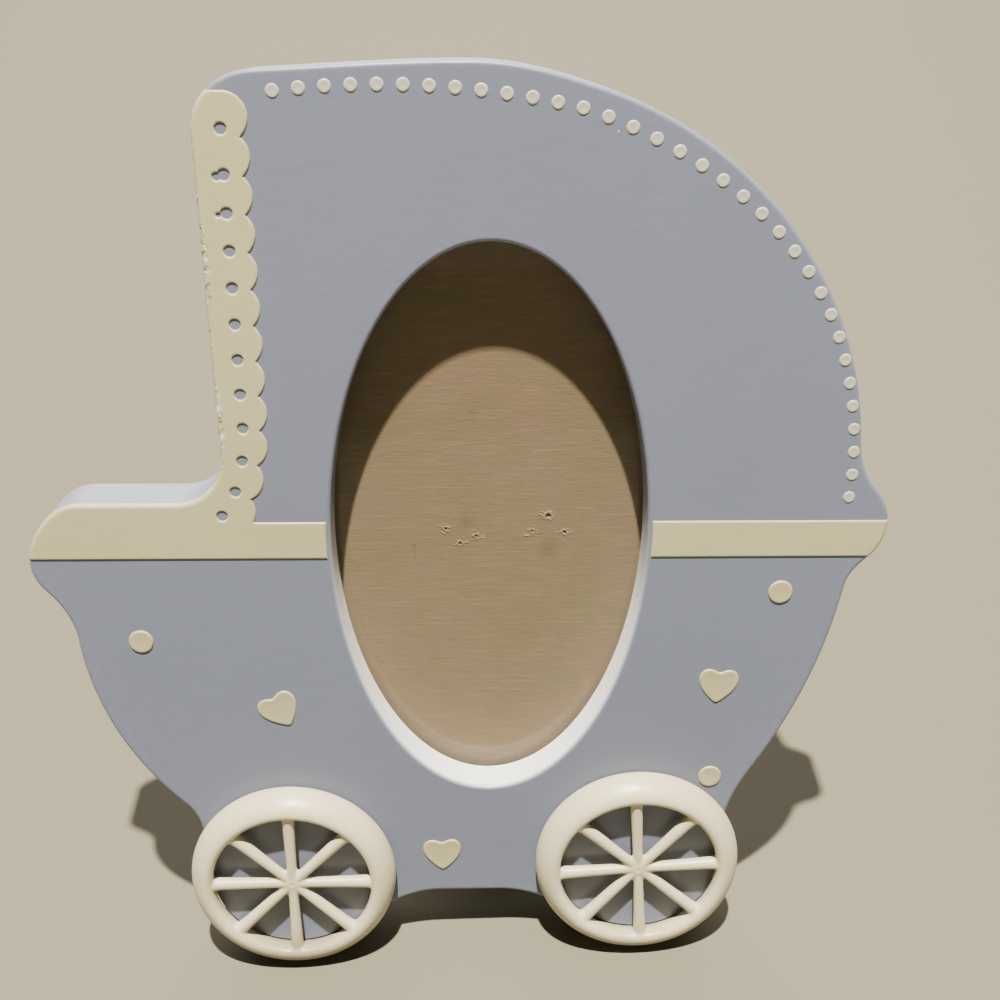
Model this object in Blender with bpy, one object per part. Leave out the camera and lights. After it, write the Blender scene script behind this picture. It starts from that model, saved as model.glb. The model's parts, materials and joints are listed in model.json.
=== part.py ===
"""Pram-shaped baby photo frame that stands on two glued wheels and an easel strut.

Everything is modelled in the slab's own axes: X runs along the band, Z up the slab and Y back
from the front face, with the origin on the front face midway between the wheel centres. One
empty then tilts the slab, leans it back and sets its wheels on the floor.
"""

import math

import bmesh
import bpy
from mathutils import Matrix, Vector
from mathutils.geometry import interpolate_bezier

MM = 0.001

# Gap left between parts that touch
TOUCH_GAP = 0.3 * MM

# How the frame stands
LEAN = math.radians(15.0)
BAND_TILT = math.radians(2.2)
STRUT_OPENING = math.radians(32.0)
FOOT_CLEARANCE = 0.5 * MM

# The print that the frame holds, and the sheets behind the window
PRINT_WIDTH = 89.0 * MM
PRINT_HEIGHT = 127.0 * MM
PRINT_PLAY = 1.8 * MM
POCKET_CORNER = 3.0 * MM
WINDOW_DEPTH = 8.0 * MM
PANE_THICKNESS = 1.2 * MM
BOARD_THICKNESS = 2.0 * MM
VELOUR_THICKNESS = 0.4 * MM

# Oval window
WINDOW_CENTRE_X = 5.2 * MM
WINDOW_CENTRE_Z = 79.8 * MM
WINDOW_WIDTH = 64.4 * MM
WINDOW_HEIGHT = 119.6 * MM
LIP_ROUNDING = 0.9 * MM
WINDOW_FACETS = 60

# Slab edges
FRONT_ROUNDING = 0.9 * MM
ROUNDING_STEPS = 3
REAR_CHAMFER = 0.8 * MM
FACET_TURN = math.radians(9.0)
FACET_LENGTH = 5.0 * MM

# Hood, placed from the window and walled round the print's pocket
HOOD_SHIFT_X = -3.5 * MM
HOOD_SHIFT_Z = 12.9 * MM
HOOD_WALL = 5.6 * MM
HOOD_CORNER_RADIUS = 11.5 * MM
HOOD_CORNER_DROP = 0.9 * MM
HOOD_CORNER_HEADING = math.radians(3.2)
HOOD_CROWN_RISE = 0.85 * MM
HOOD_SHOULDER_TURN = math.radians(18.0)
COLLAR_WALL = 6.9 * MM
COLLAR_SPREAD = math.radians(0.5)

# Ledge and handle tip on the left, with the outline's heading at each of its stations
LEDGE_TOP_Z = 87.6 * MM
LEDGE_FILLET = 9.8 * MM
LEDGE_LENGTH = 40.35 * MM
HANDLE_TOP_RUN = 11.5 * MM
HANDLE_SHOULDER_RUN = 3.5 * MM
HANDLE_SHOULDER_DROP = 4.4 * MM
HANDLE_SHOULDER_HEADING = math.radians(52.0)
HANDLE_TIP_DROP = 13.2 * MM
HANDLE_TIP_HEADING = math.radians(91.0)
HANDLE_CHIN_RUN = 2.4 * MM
HANDLE_CHIN_DROP = 19.2 * MM
HANDLE_CHIN_HEADING = math.radians(133.0)
HANDLE_BULGE = 7.55 * MM

# Nose on the right, with the outline's heading at each of its stations
NOSE_BULGE = 7.0 * MM
NECK_RISE = 11.9 * MM
NOSE_SHOULDER_RUN = 3.4 * MM
NOSE_SHOULDER_RISE = 3.1 * MM
NOSE_SHOULDER_HEADING = math.radians(-48.0)
NOSE_TIP_DROP = 4.5 * MM
NOSE_CHIN_RUN = 3.6 * MM
NOSE_CHIN_DROP = 12.9 * MM
NOSE_CHIN_HEADING = math.radians(-136.0)

# Flanks of the lower body, the lobes behind the wheels and the arch between them
LEFT_FLANK_RADIUS = 64.2 * MM
LEFT_FLANK_DROP = 30.6 * MM
LEFT_FLANK_ARC = (math.radians(4.0), math.radians(45.0))
RIGHT_FLANK_RADIUS = 117.6 * MM
RIGHT_FLANK_DROP = 19.1 * MM
RIGHT_FLANK_ARC = (math.radians(8.0), math.radians(31.0))
RIGHT_FLANK_INSET = 0.25 * MM
LOBE_INSET = 3.3 * MM
RIGHT_LOBE_ARC = (math.radians(8.0), math.radians(-107.0))
LEFT_LOBE_ARC = (math.radians(-64.0), math.radians(-180.0))
ARCH_TOP_Z = -8.2 * MM
ARCH_FLAT = 14.0 * MM
ARCH_SHIFT = 1.0 * MM

# Moulded band, and the scalloped collar with its eyelets
RELIEF = 0.3 * MM
BAND_DROP = 4.0 * MM
BAND_HEIGHT = 8.0 * MM
SCALLOP_PITCH = 6.87 * MM
SCALLOP_RADIUS = 4.5 * MM
SCALLOP_REACH = 5.4 * MM
SCALLOP_TOP_DROP = 9.0 * MM
SCALLOP_TOP_END = math.radians(95.0)
SCALLOP_FACET_TURN = math.radians(22.0)
COLLAR_BEND = 0.4 * MM
BENT_SCALLOPS = 3
EYELET_RADIUS = 1.05 * MM
EYELET_FACETS = 10
EYELET_REACH = 4.9 * MM
EYELET_DROP = 3.1 * MM
EYELET_END_LIFT = 1.1 * MM
EYELET_BEND = 0.6 * MM
EYELET_LIFT = 0.12 * MM

# Moulded hearts and dots
HEART_WIDTH = 8.6 * MM
HEART_FACETS = 28
HEART_BEVEL = 0.2 * MM
HEART_WAVES = (15.1, -3.7, -1.45, -0.35)
HEART_PINCH = 0.13
HEART_PLACES = (
    (-39.9 * MM, 40.6 * MM, math.radians(29.0)),
    (54.4 * MM, 45.9 * MM, math.radians(-4.0)),
    (-5.3 * MM, 2.7 * MM, math.radians(2.0)),
)
BIG_DOT_RADIUS = 2.6 * MM
BIG_DOT_PLACES = ((-67.5 * MM, 56.8 * MM), (65.8 * MM, 67.5 * MM))
WHEEL_DOT_GAP = 0.3 * MM
WHEEL_DOT_TURN = math.radians(53.2)
DOT_HEIGHT = 0.35 * MM
DOT_CROWN = 0.6
DOT_RIM = 0.4
HOOD_DOT_FACETS = 8
HOOD_DOT_COUNT = 34
HOOD_DOT_RADIUS = 1.25 * MM
HOOD_DOT_PITCH = 4.62 * MM
HOOD_DOT_TURN_PITCH = 4.82 * MM
HOOD_DOT_START = 14.45 * MM
HOOD_DOT_CROWN_SHIFT = -15.5 * MM
HOOD_DOT_TURN_SHIFT = 17.8 * MM
HOOD_DOT_CROWN_INSET = 3.4 * MM
HOOD_DOT_CROWN_RADIUS = 167.0 * MM
HOOD_DOT_INSET = 4.5 * MM
HOOD_DOT_INSET_END = 1.6 * MM
HOOD_DOT_INSET_TURNS = (math.radians(22.0), math.radians(70.0))

# Wheels, whose centres lie inside the sides of the print's pocket
WHEEL_INSET = 7.65 * MM
WHEEL_RADIUS = 23.15 * MM
WHEEL_FACETS = 44
RIM_WIDTH = 5.9 * MM
RIM_DEPTH = 6.75 * MM
RIM_ROUND_DEPTH = 7.25 * MM
RIM_SKEW = 0.5 * MM
RIM_FACETS = 12
SPOKE_COUNT = 8
SPOKE_FACETS = 8
SPOKE_RADIUS = 1.7 * MM
SPOKE_TAPER = 0.66
SPOKE_HEIGHT = 3.35 * MM
HUB_RADIUS = 1.4 * MM
LEFT_SPOKE_TURN = math.radians(0.5)
RIGHT_SPOKE_TURN = math.radians(3.8)

# Easel hinge, placed from the window
HINGE_SHIFT_X = 3.4 * MM
RIVET_SHIFT_Z = -1.6 * MM
RIVET_SPACING = 18.2 * MM
RIVET_HEIGHT = 6.2 * MM
LEAF_WIDTH = 27.0 * MM
LEAF_THICKNESS = 0.6 * MM
LEAF_LENGTH = 11.0 * MM
KNUCKLE_SHARE = 0.36
PIN_RADIUS = 0.6 * MM
CURL_TURN = math.radians(300.0)
CURL_STEPS = 10
RIVET_CAP_RADIUS = 3.1 * MM
RIVET_CAP_EDGE = 0.32 * MM
RIVET_CAP_HEIGHT = 0.8 * MM
RIVET_CROWN = 0.6
RIVET_FACETS = 16
PRONG_SPREAD = 4.0 * MM
PRONG_TURN = math.radians(20.0)
PRONG_WIDTH = 0.9 * MM
PRONG_THICKNESS = 0.5 * MM
PRONG_TIP_COVER = 0.1 * MM

# Strut
STRUT_THICKNESS = 2.0 * MM
STRUT_TOP_WIDTH = 32.0 * MM
STRUT_FOOT_WIDTH = 46.0 * MM
STRUT_CORNER = 3.0 * MM
STRUT_SPARE = 1.2

# Turn buttons and their screws, placed from the pocket
BUTTON_LENGTH = 15.0 * MM
BUTTON_WIDTH = 6.4 * MM
BUTTON_THICKNESS = 0.8 * MM
BUTTON_OFFSET = 3.7 * MM
BUTTON_RISE = 48.2 * MM
BUTTON_DROP = 43.8 * MM
SCREW_RADIUS = 0.9 * MM
SCREW_POINT_RADIUS = 0.36 * MM
SCREW_POINT_LENGTH = 1.35 * MM
SCREW_HEAD_RADIUS = 2.1 * MM
SCREW_HEAD_EDGE = 0.42 * MM
SCREW_HEAD_HEIGHT = 1.2 * MM
SCREW_CROWN = 0.6
SCREW_DEPTH = 7.0 * MM

# Small round things have this many sides, and edges sharper than this show as edges
ROUND_FACETS = 12
SHARP_ANGLE = math.radians(35.0)

# How far a cutter runs past what it cuts, and points this close become one
OVERSHOOT = 1.0 * MM
WELD_DISTANCE = 0.02 * MM

# Depths that follow from the sizes above
PANE_FRONT = WINDOW_DEPTH + TOUCH_GAP
BOARD_FRONT = PANE_FRONT + PANE_THICKNESS + TOUCH_GAP
VELOUR_FRONT = BOARD_FRONT + BOARD_THICKNESS + TOUCH_GAP
SLAB_THICKNESS = VELOUR_FRONT + VELOUR_THICKNESS

# Places in the slab that follow from the sizes above
POCKET_WIDTH = PRINT_WIDTH + 2.0 * PRINT_PLAY
POCKET_HEIGHT = PRINT_HEIGHT + 2.0 * PRINT_PLAY
HOOD_CENTRE_X = WINDOW_CENTRE_X + HOOD_SHIFT_X
HOOD_CENTRE_Z = WINDOW_CENTRE_Z + HOOD_SHIFT_Z
HOOD_RADIUS = HOOD_WALL + math.hypot(POCKET_WIDTH / 2.0 - HOOD_SHIFT_X,
                                     POCKET_HEIGHT / 2.0 - HOOD_SHIFT_Z)
HOOD_TOP_Z = HOOD_CENTRE_Z + HOOD_RADIUS
COLLAR_EDGE_X = WINDOW_CENTRE_X - POCKET_WIDTH / 2.0 - COLLAR_WALL
NECK_X = HOOD_CENTRE_X + HOOD_RADIUS
NOSE_TIP_X = NECK_X + NOSE_BULGE
HANDLE_TIP_X = COLLAR_EDGE_X - LEDGE_LENGTH
LEFT_FLANK_X = HANDLE_TIP_X + HANDLE_BULGE
BAND_TOP_Z = LEDGE_TOP_Z - BAND_DROP
BAND_BOTTOM_Z = BAND_TOP_Z - BAND_HEIGHT
SCALLOP_TOP_Z = HOOD_TOP_Z - SCALLOP_TOP_DROP
SCALLOP_COUNT = math.ceil((SCALLOP_TOP_Z - BAND_TOP_Z) / SCALLOP_PITCH)
WHEEL_SPACING = POCKET_WIDTH - 2.0 * WHEEL_INSET
LEFT_WHEEL = Vector((-math.cos(BAND_TILT), 0.0, -math.sin(BAND_TILT))) * (WHEEL_SPACING / 2.0)
RIGHT_WHEEL = -LEFT_WHEEL
LOBE_RADIUS = WHEEL_RADIUS - LOBE_INSET

# Hinge and strut places that follow from the sizes above
LEAF_FRONT = SLAB_THICKNESS + TOUCH_GAP
KNUCKLE_BORE = PIN_RADIUS + TOUCH_GAP
KNUCKLE_RADIUS = KNUCKLE_BORE + LEAF_THICKNESS
HINGE_X = WINDOW_CENTRE_X + HINGE_SHIFT_X
HINGE_Y = LEAF_FRONT + KNUCKLE_RADIUS
RIVET_Z = WINDOW_CENTRE_Z + RIVET_SHIFT_Z
HINGE_Z = RIVET_Z - RIVET_HEIGHT
SHOULDER = KNUCKLE_RADIUS + 2.0 * TOUCH_GAP


def make_material(name, colour, roughness, metallic=0.0, transmission=0.0):
    """A plain Principled material in the part's colour."""
    material = bpy.data.materials.new(name)
    material.use_nodes = True
    shader = material.node_tree.nodes["Principled BSDF"]
    shader.inputs["Base Color"].default_value = (*colour, 1.0)
    shader.inputs["Roughness"].default_value = roughness
    shader.inputs["Metallic"].default_value = metallic
    shader.inputs["Transmission Weight"].default_value = transmission
    material.diffuse_color = (*colour, 1.0)
    return material


def make_object(name, bm, material, parent):
    """Turn a bmesh into a named object under the given empty."""
    bmesh.ops.recalc_face_normals(bm, faces=bm.faces)
    mesh = bpy.data.meshes.new(name)
    bm.to_mesh(mesh)
    bm.free()
    mesh.materials.append(material)
    mesh.shade_smooth()
    mesh.set_sharp_from_angle(angle=SHARP_ANGLE)
    part = bpy.data.objects.new(name, mesh)
    bpy.context.collection.objects.link(part)
    part.parent = parent
    return part


def make_cutter(name, bm, material, parent):
    """An object that only cuts or joins another one, and isn't part of the frame."""
    cutter = make_object(name, bm, material, parent)
    cutter.hide_render = True
    cutter.display_type = "WIRE"
    return cutter


def combine(part, cutter, operation, crossing=False):
    """Cut the part with the cutter, or join them."""
    modifier = part.modifiers.new(cutter.name, "BOOLEAN")
    modifier.operation = operation
    modifier.solver = "EXACT"
    modifier.use_self = crossing
    modifier.object = cutter


def make_crease_group():
    """Geometry nodes that shade a joined shape smooth up to the sharp angle."""
    group = bpy.data.node_groups.new("crease_by_angle", "GeometryNodeTree")
    group.interface.new_socket("Geometry", in_out="INPUT", socket_type="NodeSocketGeometry")
    group.interface.new_socket("Geometry", in_out="OUTPUT", socket_type="NodeSocketGeometry")
    entry = group.nodes.new("NodeGroupInput")
    angle = group.nodes.new("GeometryNodeInputMeshEdgeAngle")
    gentle = group.nodes.new("FunctionNodeCompare")
    gentle.operation = "LESS_THAN"
    gentle.inputs["B"].default_value = SHARP_ANGLE
    crease = group.nodes.new("GeometryNodeSetShadeSmooth")
    crease.domain = "EDGE"
    leave = group.nodes.new("NodeGroupOutput")
    group.links.new(entry.outputs["Geometry"], crease.inputs["Geometry"])
    group.links.new(angle.outputs["Unsigned Angle"], gentle.inputs["A"])
    group.links.new(gentle.outputs["Result"], crease.inputs["Shade Smooth"])
    group.links.new(crease.outputs["Geometry"], leave.inputs["Geometry"])
    return group


def weld(part):
    """Close the hairline slivers that joining shapes can leave."""
    part.modifiers.new("weld", "WELD").merge_threshold = WELD_DISTANCE


def crease(part, group):
    """Shade a joined shape by its own edges."""
    part.modifiers.new("crease", "NODES").node_group = group


def make_empty(name, matrix, parent=None):
    """An empty that carries or turns other objects."""
    empty = bpy.data.objects.new(name, None)
    bpy.context.collection.objects.link(empty)
    empty.parent = parent
    empty.matrix_local = matrix
    return empty


def wrapped(angle):
    """The angle brought between minus half a turn and half a turn."""
    return math.remainder(angle, 2.0 * math.pi)


def on_circle(centre_x, centre_z, radius, angle):
    """A station on a circle that is followed clockwise, as x, z and heading."""
    x = centre_x + radius * math.cos(angle)
    z = centre_z + radius * math.sin(angle)
    return (x, z, angle - math.pi / 2.0)


def smooth_loop(stations):
    """A closed loop through stations of x, z and heading, as a list of (x, z)."""
    points = []
    for (x0, z0, heading0), (x1, z1, heading1) in zip(stations, stations[1:] + stations[:1]):
        start = Vector((x0, z0))
        end = Vector((x1, z1))
        chord = (end - start).length
        bearing = math.atan2(z1 - z0, x1 - x0)
        swing = abs(wrapped(bearing - heading0)) + abs(wrapped(heading1 - bearing))
        reach = chord / (3.0 * math.cos(wrapped(heading1 - heading0) / 4.0) ** 2)
        straight = swing < math.radians(1.0)
        steps = 1 if straight else math.ceil(max(swing / FACET_TURN, chord / FACET_LENGTH))
        leave = Vector((math.cos(heading0), math.sin(heading0))) * reach
        arrive = Vector((math.cos(heading1), math.sin(heading1))) * reach
        curve = interpolate_bezier(start, start + leave, end - arrive, end, steps + 1)
        points += [(point.x, point.y) for point in curve[:-1]]
    return points


def flank_centre(side_x, drop, radius, start):
    """Centre of a flank's arc, whose upper end meets the given side of the slab."""
    return (side_x - radius, LEDGE_TOP_Z - drop + radius * math.sin(start))


def lobe(wheel, arc):
    """Stations round the slab's lobe behind a wheel, at the ends and middle of its arc."""
    start, end = arc
    return [on_circle(wheel.x, wheel.z, LOBE_RADIUS, angle)
            for angle in (start, (start + end) / 2.0, end)]


def slab_outline():
    """The pram's outline, clockwise from the handle tip, as a list of (x, z)."""
    up = math.pi / 2.0
    handle = [
        (HANDLE_TIP_X, LEDGE_TOP_Z - HANDLE_TIP_DROP, HANDLE_TIP_HEADING),
        (HANDLE_TIP_X + HANDLE_SHOULDER_RUN, LEDGE_TOP_Z - HANDLE_SHOULDER_DROP,
         HANDLE_SHOULDER_HEADING),
        (HANDLE_TIP_X + HANDLE_TOP_RUN, LEDGE_TOP_Z, 0.0),
    ]
    foot_z = LEDGE_TOP_Z + LEDGE_FILLET
    head_z = HOOD_TOP_Z - HOOD_CORNER_RADIUS
    head_x = COLLAR_EDGE_X - (head_z - foot_z) * math.tan(COLLAR_SPREAD)
    collar = [
        (COLLAR_EDGE_X - LEDGE_FILLET, LEDGE_TOP_Z, 0.0),
        (COLLAR_EDGE_X, foot_z, up + COLLAR_SPREAD),
        (head_x, head_z, up + COLLAR_SPREAD),
        (head_x + HOOD_CORNER_RADIUS, HOOD_TOP_Z - HOOD_CORNER_DROP, HOOD_CORNER_HEADING),
    ]
    neck = math.asin((LEDGE_TOP_Z + NECK_RISE - HOOD_CENTRE_Z) / HOOD_RADIUS)
    hood = [(HOOD_CENTRE_X, HOOD_TOP_Z + HOOD_CROWN_RISE, 0.0)]
    hood += [on_circle(HOOD_CENTRE_X, HOOD_CENTRE_Z, HOOD_RADIUS, angle)
             for angle in (up - HOOD_SHOULDER_TURN, (up + neck) / 2.0, neck)]
    nose = [
        (NOSE_TIP_X - NOSE_SHOULDER_RUN, LEDGE_TOP_Z + NOSE_SHOULDER_RISE, NOSE_SHOULDER_HEADING),
        (NOSE_TIP_X, LEDGE_TOP_Z - NOSE_TIP_DROP, -up),
        (NOSE_TIP_X - NOSE_CHIN_RUN, LEDGE_TOP_Z - NOSE_CHIN_DROP, NOSE_CHIN_HEADING),
    ]
    right_side = NECK_X - RIGHT_FLANK_INSET + RIGHT_FLANK_RADIUS * (1.0 - math.cos(RIGHT_FLANK_ARC[0]))
    right_centre = flank_centre(right_side, RIGHT_FLANK_DROP, RIGHT_FLANK_RADIUS, RIGHT_FLANK_ARC[0])
    right_flank = [on_circle(*right_centre, RIGHT_FLANK_RADIUS, -angle) for angle in RIGHT_FLANK_ARC]
    arch = [
        (ARCH_SHIFT + ARCH_FLAT / 2.0, ARCH_TOP_Z, math.pi),
        (ARCH_SHIFT - ARCH_FLAT / 2.0, ARCH_TOP_Z, math.pi),
    ]
    left_centre = flank_centre(LEFT_FLANK_X + 2.0 * LEFT_FLANK_RADIUS, LEFT_FLANK_DROP,
                               LEFT_FLANK_RADIUS, LEFT_FLANK_ARC[0])
    left_flank = [on_circle(*left_centre, LEFT_FLANK_RADIUS, math.pi + angle)
                  for angle in reversed(LEFT_FLANK_ARC)]
    chin = [(HANDLE_TIP_X + HANDLE_CHIN_RUN, LEDGE_TOP_Z - HANDLE_CHIN_DROP, HANDLE_CHIN_HEADING)]
    return smooth_loop(handle + collar + hood + nose + right_flank
                       + lobe(RIGHT_WHEEL, RIGHT_LOBE_ARC) + arch
                       + lobe(LEFT_WHEEL, LEFT_LOBE_ARC) + left_flank + chin)


def ellipse(centre_x, centre_z, half_width, half_height, count):
    """Points round an ellipse."""
    turns = [2.0 * math.pi * k / count for k in range(count)]
    return [(centre_x + half_width * math.cos(t), centre_z + half_height * math.sin(t))
            for t in turns]


def circle(centre_x, centre_z, radius, count):
    """Points round a circle."""
    return ellipse(centre_x, centre_z, radius, radius, count)


def rounded_rectangle(centre_x, centre_z, width, height, corner, steps=3):
    """Points round a rectangle with rounded corners."""
    points = []
    for quarter in range(4):
        side_x = 1 if quarter in (0, 3) else -1
        side_z = 1 if quarter in (0, 1) else -1
        corner_x = centre_x + side_x * (width / 2.0 - corner)
        corner_z = centre_z + side_z * (height / 2.0 - corner)
        for step in range(steps + 1):
            angle = (quarter + step / steps) * math.pi / 2.0
            points.append((corner_x + corner * math.cos(angle),
                           corner_z + corner * math.sin(angle)))
    return points


def moved_along_normals(points, distance):
    """A closed loop offset to its left as it is followed."""
    moved = []
    for index, (x, z) in enumerate(points):
        before = Vector(points[index - 1])
        after = Vector(points[(index + 1) % len(points)])
        here = Vector((x, z))
        first = (here - before).normalized()
        second = (after - here).normalized()
        bisector = Vector((-first.y - second.y, first.x + second.x)).normalized()
        stretch = distance / max(0.5, bisector.dot(Vector((-first.y, first.x))))
        moved.append((x + bisector.x * stretch, z + bisector.y * stretch))
    return moved


def add_ring(bm, points, y):
    """One loop of vertices at depth y."""
    return [bm.verts.new((x, y, z)) for x, z in points]


def bridge(bm, ring_a, ring_b):
    """Quads between two loops of equal count."""
    count = len(ring_a)
    for k in range(count):
        after = (k + 1) % count
        bm.faces.new((ring_a[k], ring_a[after], ring_b[after], ring_b[k]))


def cap_between(bm, outer, inner):
    """A flat face between an outer loop and a hole in it."""
    edges = []
    for ring in (outer, inner):
        for k, vertex in enumerate(ring):
            following = ring[(k + 1) % len(ring)]
            edges.append(bm.edges.get((vertex, following)) or bm.edges.new((vertex, following)))
    bmesh.ops.triangle_fill(bm, use_beauty=True, edges=edges)


def prism(bm, points, front, back):
    """A closed solid with one outline from front to back."""
    front_ring = add_ring(bm, points, front)
    back_ring = add_ring(bm, points, back)
    bridge(bm, front_ring, back_ring)
    bm.faces.new(front_ring)
    bm.faces.new(list(reversed(back_ring)))


def lofted(bm, rings):
    """A closed solid through rings of (points, y), first and last one capped."""
    loops = [add_ring(bm, points, y) for points, y in rings]
    for ring_a, ring_b in zip(loops, loops[1:]):
        bridge(bm, ring_a, ring_b)
    bm.faces.new(loops[0])
    bm.faces.new(list(reversed(loops[-1])))


def rounded_front_rings(outline, front, rounding):
    """The rings of a rounded front edge, from the flat face out to the side wall."""
    rings = []
    for step in range(ROUNDING_STEPS + 1):
        angle = step / ROUNDING_STEPS * math.pi / 2.0
        inset = rounding * (1.0 - math.sin(angle))
        depth = rounding * (1.0 - math.cos(angle))
        rings.append((moved_along_normals(outline, -inset), front + depth))
    return rings


def build_body(parent, blue, cream):
    """The moulded slab with its window, rear pocket, screw holes and relief."""
    outline = slab_outline()
    window = ellipse(WINDOW_CENTRE_X, WINDOW_CENTRE_Z,
                     WINDOW_WIDTH / 2.0, WINDOW_HEIGHT / 2.0, WINDOW_FACETS)
    pocket = rounded_rectangle(WINDOW_CENTRE_X, WINDOW_CENTRE_Z,
                               POCKET_WIDTH, POCKET_HEIGHT, POCKET_CORNER)
    bm = bmesh.new()
    outer = [add_ring(bm, points, y)
             for points, y in rounded_front_rings(outline, 0.0, FRONT_ROUNDING)]
    outer.append(add_ring(bm, outline, SLAB_THICKNESS - REAR_CHAMFER))
    outer.append(add_ring(bm, moved_along_normals(outline, -REAR_CHAMFER), SLAB_THICKNESS))
    lip = [add_ring(bm, points, y)
           for points, y in rounded_front_rings(window, 0.0, LIP_ROUNDING)]
    lip.append(add_ring(bm, window, WINDOW_DEPTH))
    pocket_rings = [add_ring(bm, pocket, WINDOW_DEPTH), add_ring(bm, pocket, SLAB_THICKNESS)]
    for rings in (outer, lip, pocket_rings):
        for ring_a, ring_b in zip(rings, rings[1:]):
            bridge(bm, ring_a, ring_b)
    cap_between(bm, outer[0], lip[0])
    cap_between(bm, pocket_rings[0], lip[-1])
    cap_between(bm, outer[-1], pocket_rings[1])
    body = make_object("frame_body", bm, blue, parent)
    body.data.materials.append(cream)
    combine(body, build_screw_holes(parent, blue), "DIFFERENCE")
    combine(body, build_floor_cut(blue), "DIFFERENCE")
    relief = build_dots(parent, cream)
    combine(relief, build_hearts(parent, cream), "UNION")
    combine(relief, build_trim(parent, cream, outline), "UNION")
    combine(body, relief, "UNION")
    weld(body)
    return body


def build_floor_cut(blue):
    """A block under the slab that trims its lower edge level, just clear of the floor."""
    bm = bmesh.new()
    size = 4.0 * HOOD_RADIUS
    bmesh.ops.create_cube(bm, size=size)
    bmesh.ops.translate(bm, verts=bm.verts, vec=(0.0, 0.0, FOOT_CLEARANCE - size / 2.0))
    return make_cutter("floor_cut", bm, blue, None)


def collar_bend(index):
    """How far along the collar's bend a scallop lies, squared; none bend above it."""
    first_bent = SCALLOP_COUNT - 1 - BENT_SCALLOPS
    return max(0, index - first_bent) ** 2


def scallop_centres():
    """Centres of the collar's scallops from the top down, bending away at the ledge."""
    return [Vector((COLLAR_EDGE_X + SCALLOP_REACH - COLLAR_BEND * collar_bend(index),
                    SCALLOP_TOP_Z - index * SCALLOP_PITCH))
            for index in range(SCALLOP_COUNT)]


def cusp_between(lower, upper):
    """The inward corner where two neighbouring scallops meet."""
    across = (upper - lower) / 2.0
    outward = Vector((across.y, -across.x)).normalized()
    return lower + across + outward * math.sqrt(SCALLOP_RADIUS ** 2 - across.length_squared)


def collar_region():
    """The left band and the scalloped collar above it, as one loop."""
    beyond = HANDLE_TIP_X - OVERSHOOT
    points = [(beyond, BAND_BOTTOM_Z), (WINDOW_CENTRE_X, BAND_BOTTOM_Z),
              (WINDOW_CENTRE_X, BAND_TOP_Z)]
    centres = scallop_centres()
    cusps = [cusp_between(lower, upper) for upper, lower in zip(centres, centres[1:])]
    for index in reversed(range(SCALLOP_COUNT)):
        centre = centres[index]
        if index < SCALLOP_COUNT - 1:
            start = math.atan2(cusps[index].y - centre.y, cusps[index].x - centre.x)
        else:
            start = math.asin(max(-1.0, (BAND_TOP_Z - centre.y) / SCALLOP_RADIUS))
        end = SCALLOP_TOP_END
        if index > 0:
            end = math.atan2(cusps[index - 1].y - centre.y, cusps[index - 1].x - centre.x)
        steps = math.ceil((end - start) / SCALLOP_FACET_TURN)
        for step in range(0 if index == SCALLOP_COUNT - 1 else 1, steps + 1):
            angle = start + (end - start) * step / steps
            points.append((centre.x + SCALLOP_RADIUS * math.cos(angle),
                           centre.y + SCALLOP_RADIUS * math.sin(angle)))
    points += [(COLLAR_EDGE_X - LEDGE_FILLET, points[-1][1]),
               (beyond, LEDGE_TOP_Z + LEDGE_FILLET)]
    return points


def eyelet_places():
    """Centres of the holes pierced in the collar, one to a scallop."""
    places = []
    for index in range(SCALLOP_COUNT):
        bend = collar_bend(index)
        lift = EYELET_LIFT * bend
        if index in (0, SCALLOP_COUNT - 1):
            lift += EYELET_END_LIFT
        places.append((COLLAR_EDGE_X + EYELET_REACH - EYELET_BEND * bend,
                       SCALLOP_TOP_Z - index * SCALLOP_PITCH - EYELET_DROP + lift))
    return places


def build_trim(parent, cream, outline):
    """The raised collar and band, rounded over the slab's edge as the slab itself is."""
    back = FRONT_ROUNDING + OVERSHOOT
    rings = rounded_front_rings(outline, -RELIEF, FRONT_ROUNDING) + [(outline, back)]
    skin = bmesh.new()
    lofted(skin, rings)
    trim = make_cutter("trim_skin", skin, cream, parent)
    front = -RELIEF - OVERSHOOT
    band_start = WINDOW_CENTRE_X + TOUCH_GAP
    beyond = NOSE_TIP_X + OVERSHOOT
    regions = bmesh.new()
    prism(regions, collar_region(), front, FRONT_ROUNDING)
    prism(regions, [(band_start, BAND_BOTTOM_Z), (beyond, BAND_BOTTOM_Z),
                    (beyond, BAND_TOP_Z), (band_start, BAND_TOP_Z)], front, FRONT_ROUNDING)
    combine(trim, make_cutter("trim_regions", regions, cream, parent), "INTERSECT")
    openings = bmesh.new()
    prism(openings, ellipse(WINDOW_CENTRE_X, WINDOW_CENTRE_Z, WINDOW_WIDTH / 2.0 + LIP_ROUNDING,
                            WINDOW_HEIGHT / 2.0 + LIP_ROUNDING, WINDOW_FACETS),
          front - OVERSHOOT, back)
    for x, z in eyelet_places():
        prism(openings, circle(x, z, EYELET_RADIUS, EYELET_FACETS), front - OVERSHOOT, back)
    combine(trim, make_cutter("trim_openings", openings, cream, parent), "DIFFERENCE")
    return trim


def heart(centre_x, centre_z, turn, width):
    """Points round a heart, turned anticlockwise from upright by the given angle."""
    points = []
    for k in range(HEART_FACETS):
        t = 2.0 * math.pi * k / HEART_FACETS
        x = ((1.0 - HEART_PINCH) * math.sin(t) - HEART_PINCH * math.sin(3.0 * t)) / 2.0
        z = sum(wave * math.cos((n + 1) * t) for n, wave in enumerate(HEART_WAVES)) / 32.0
        points.append((centre_x + width * (x * math.cos(turn) - z * math.sin(turn)),
                       centre_z + width * (x * math.sin(turn) + z * math.cos(turn))))
    return points


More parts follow.
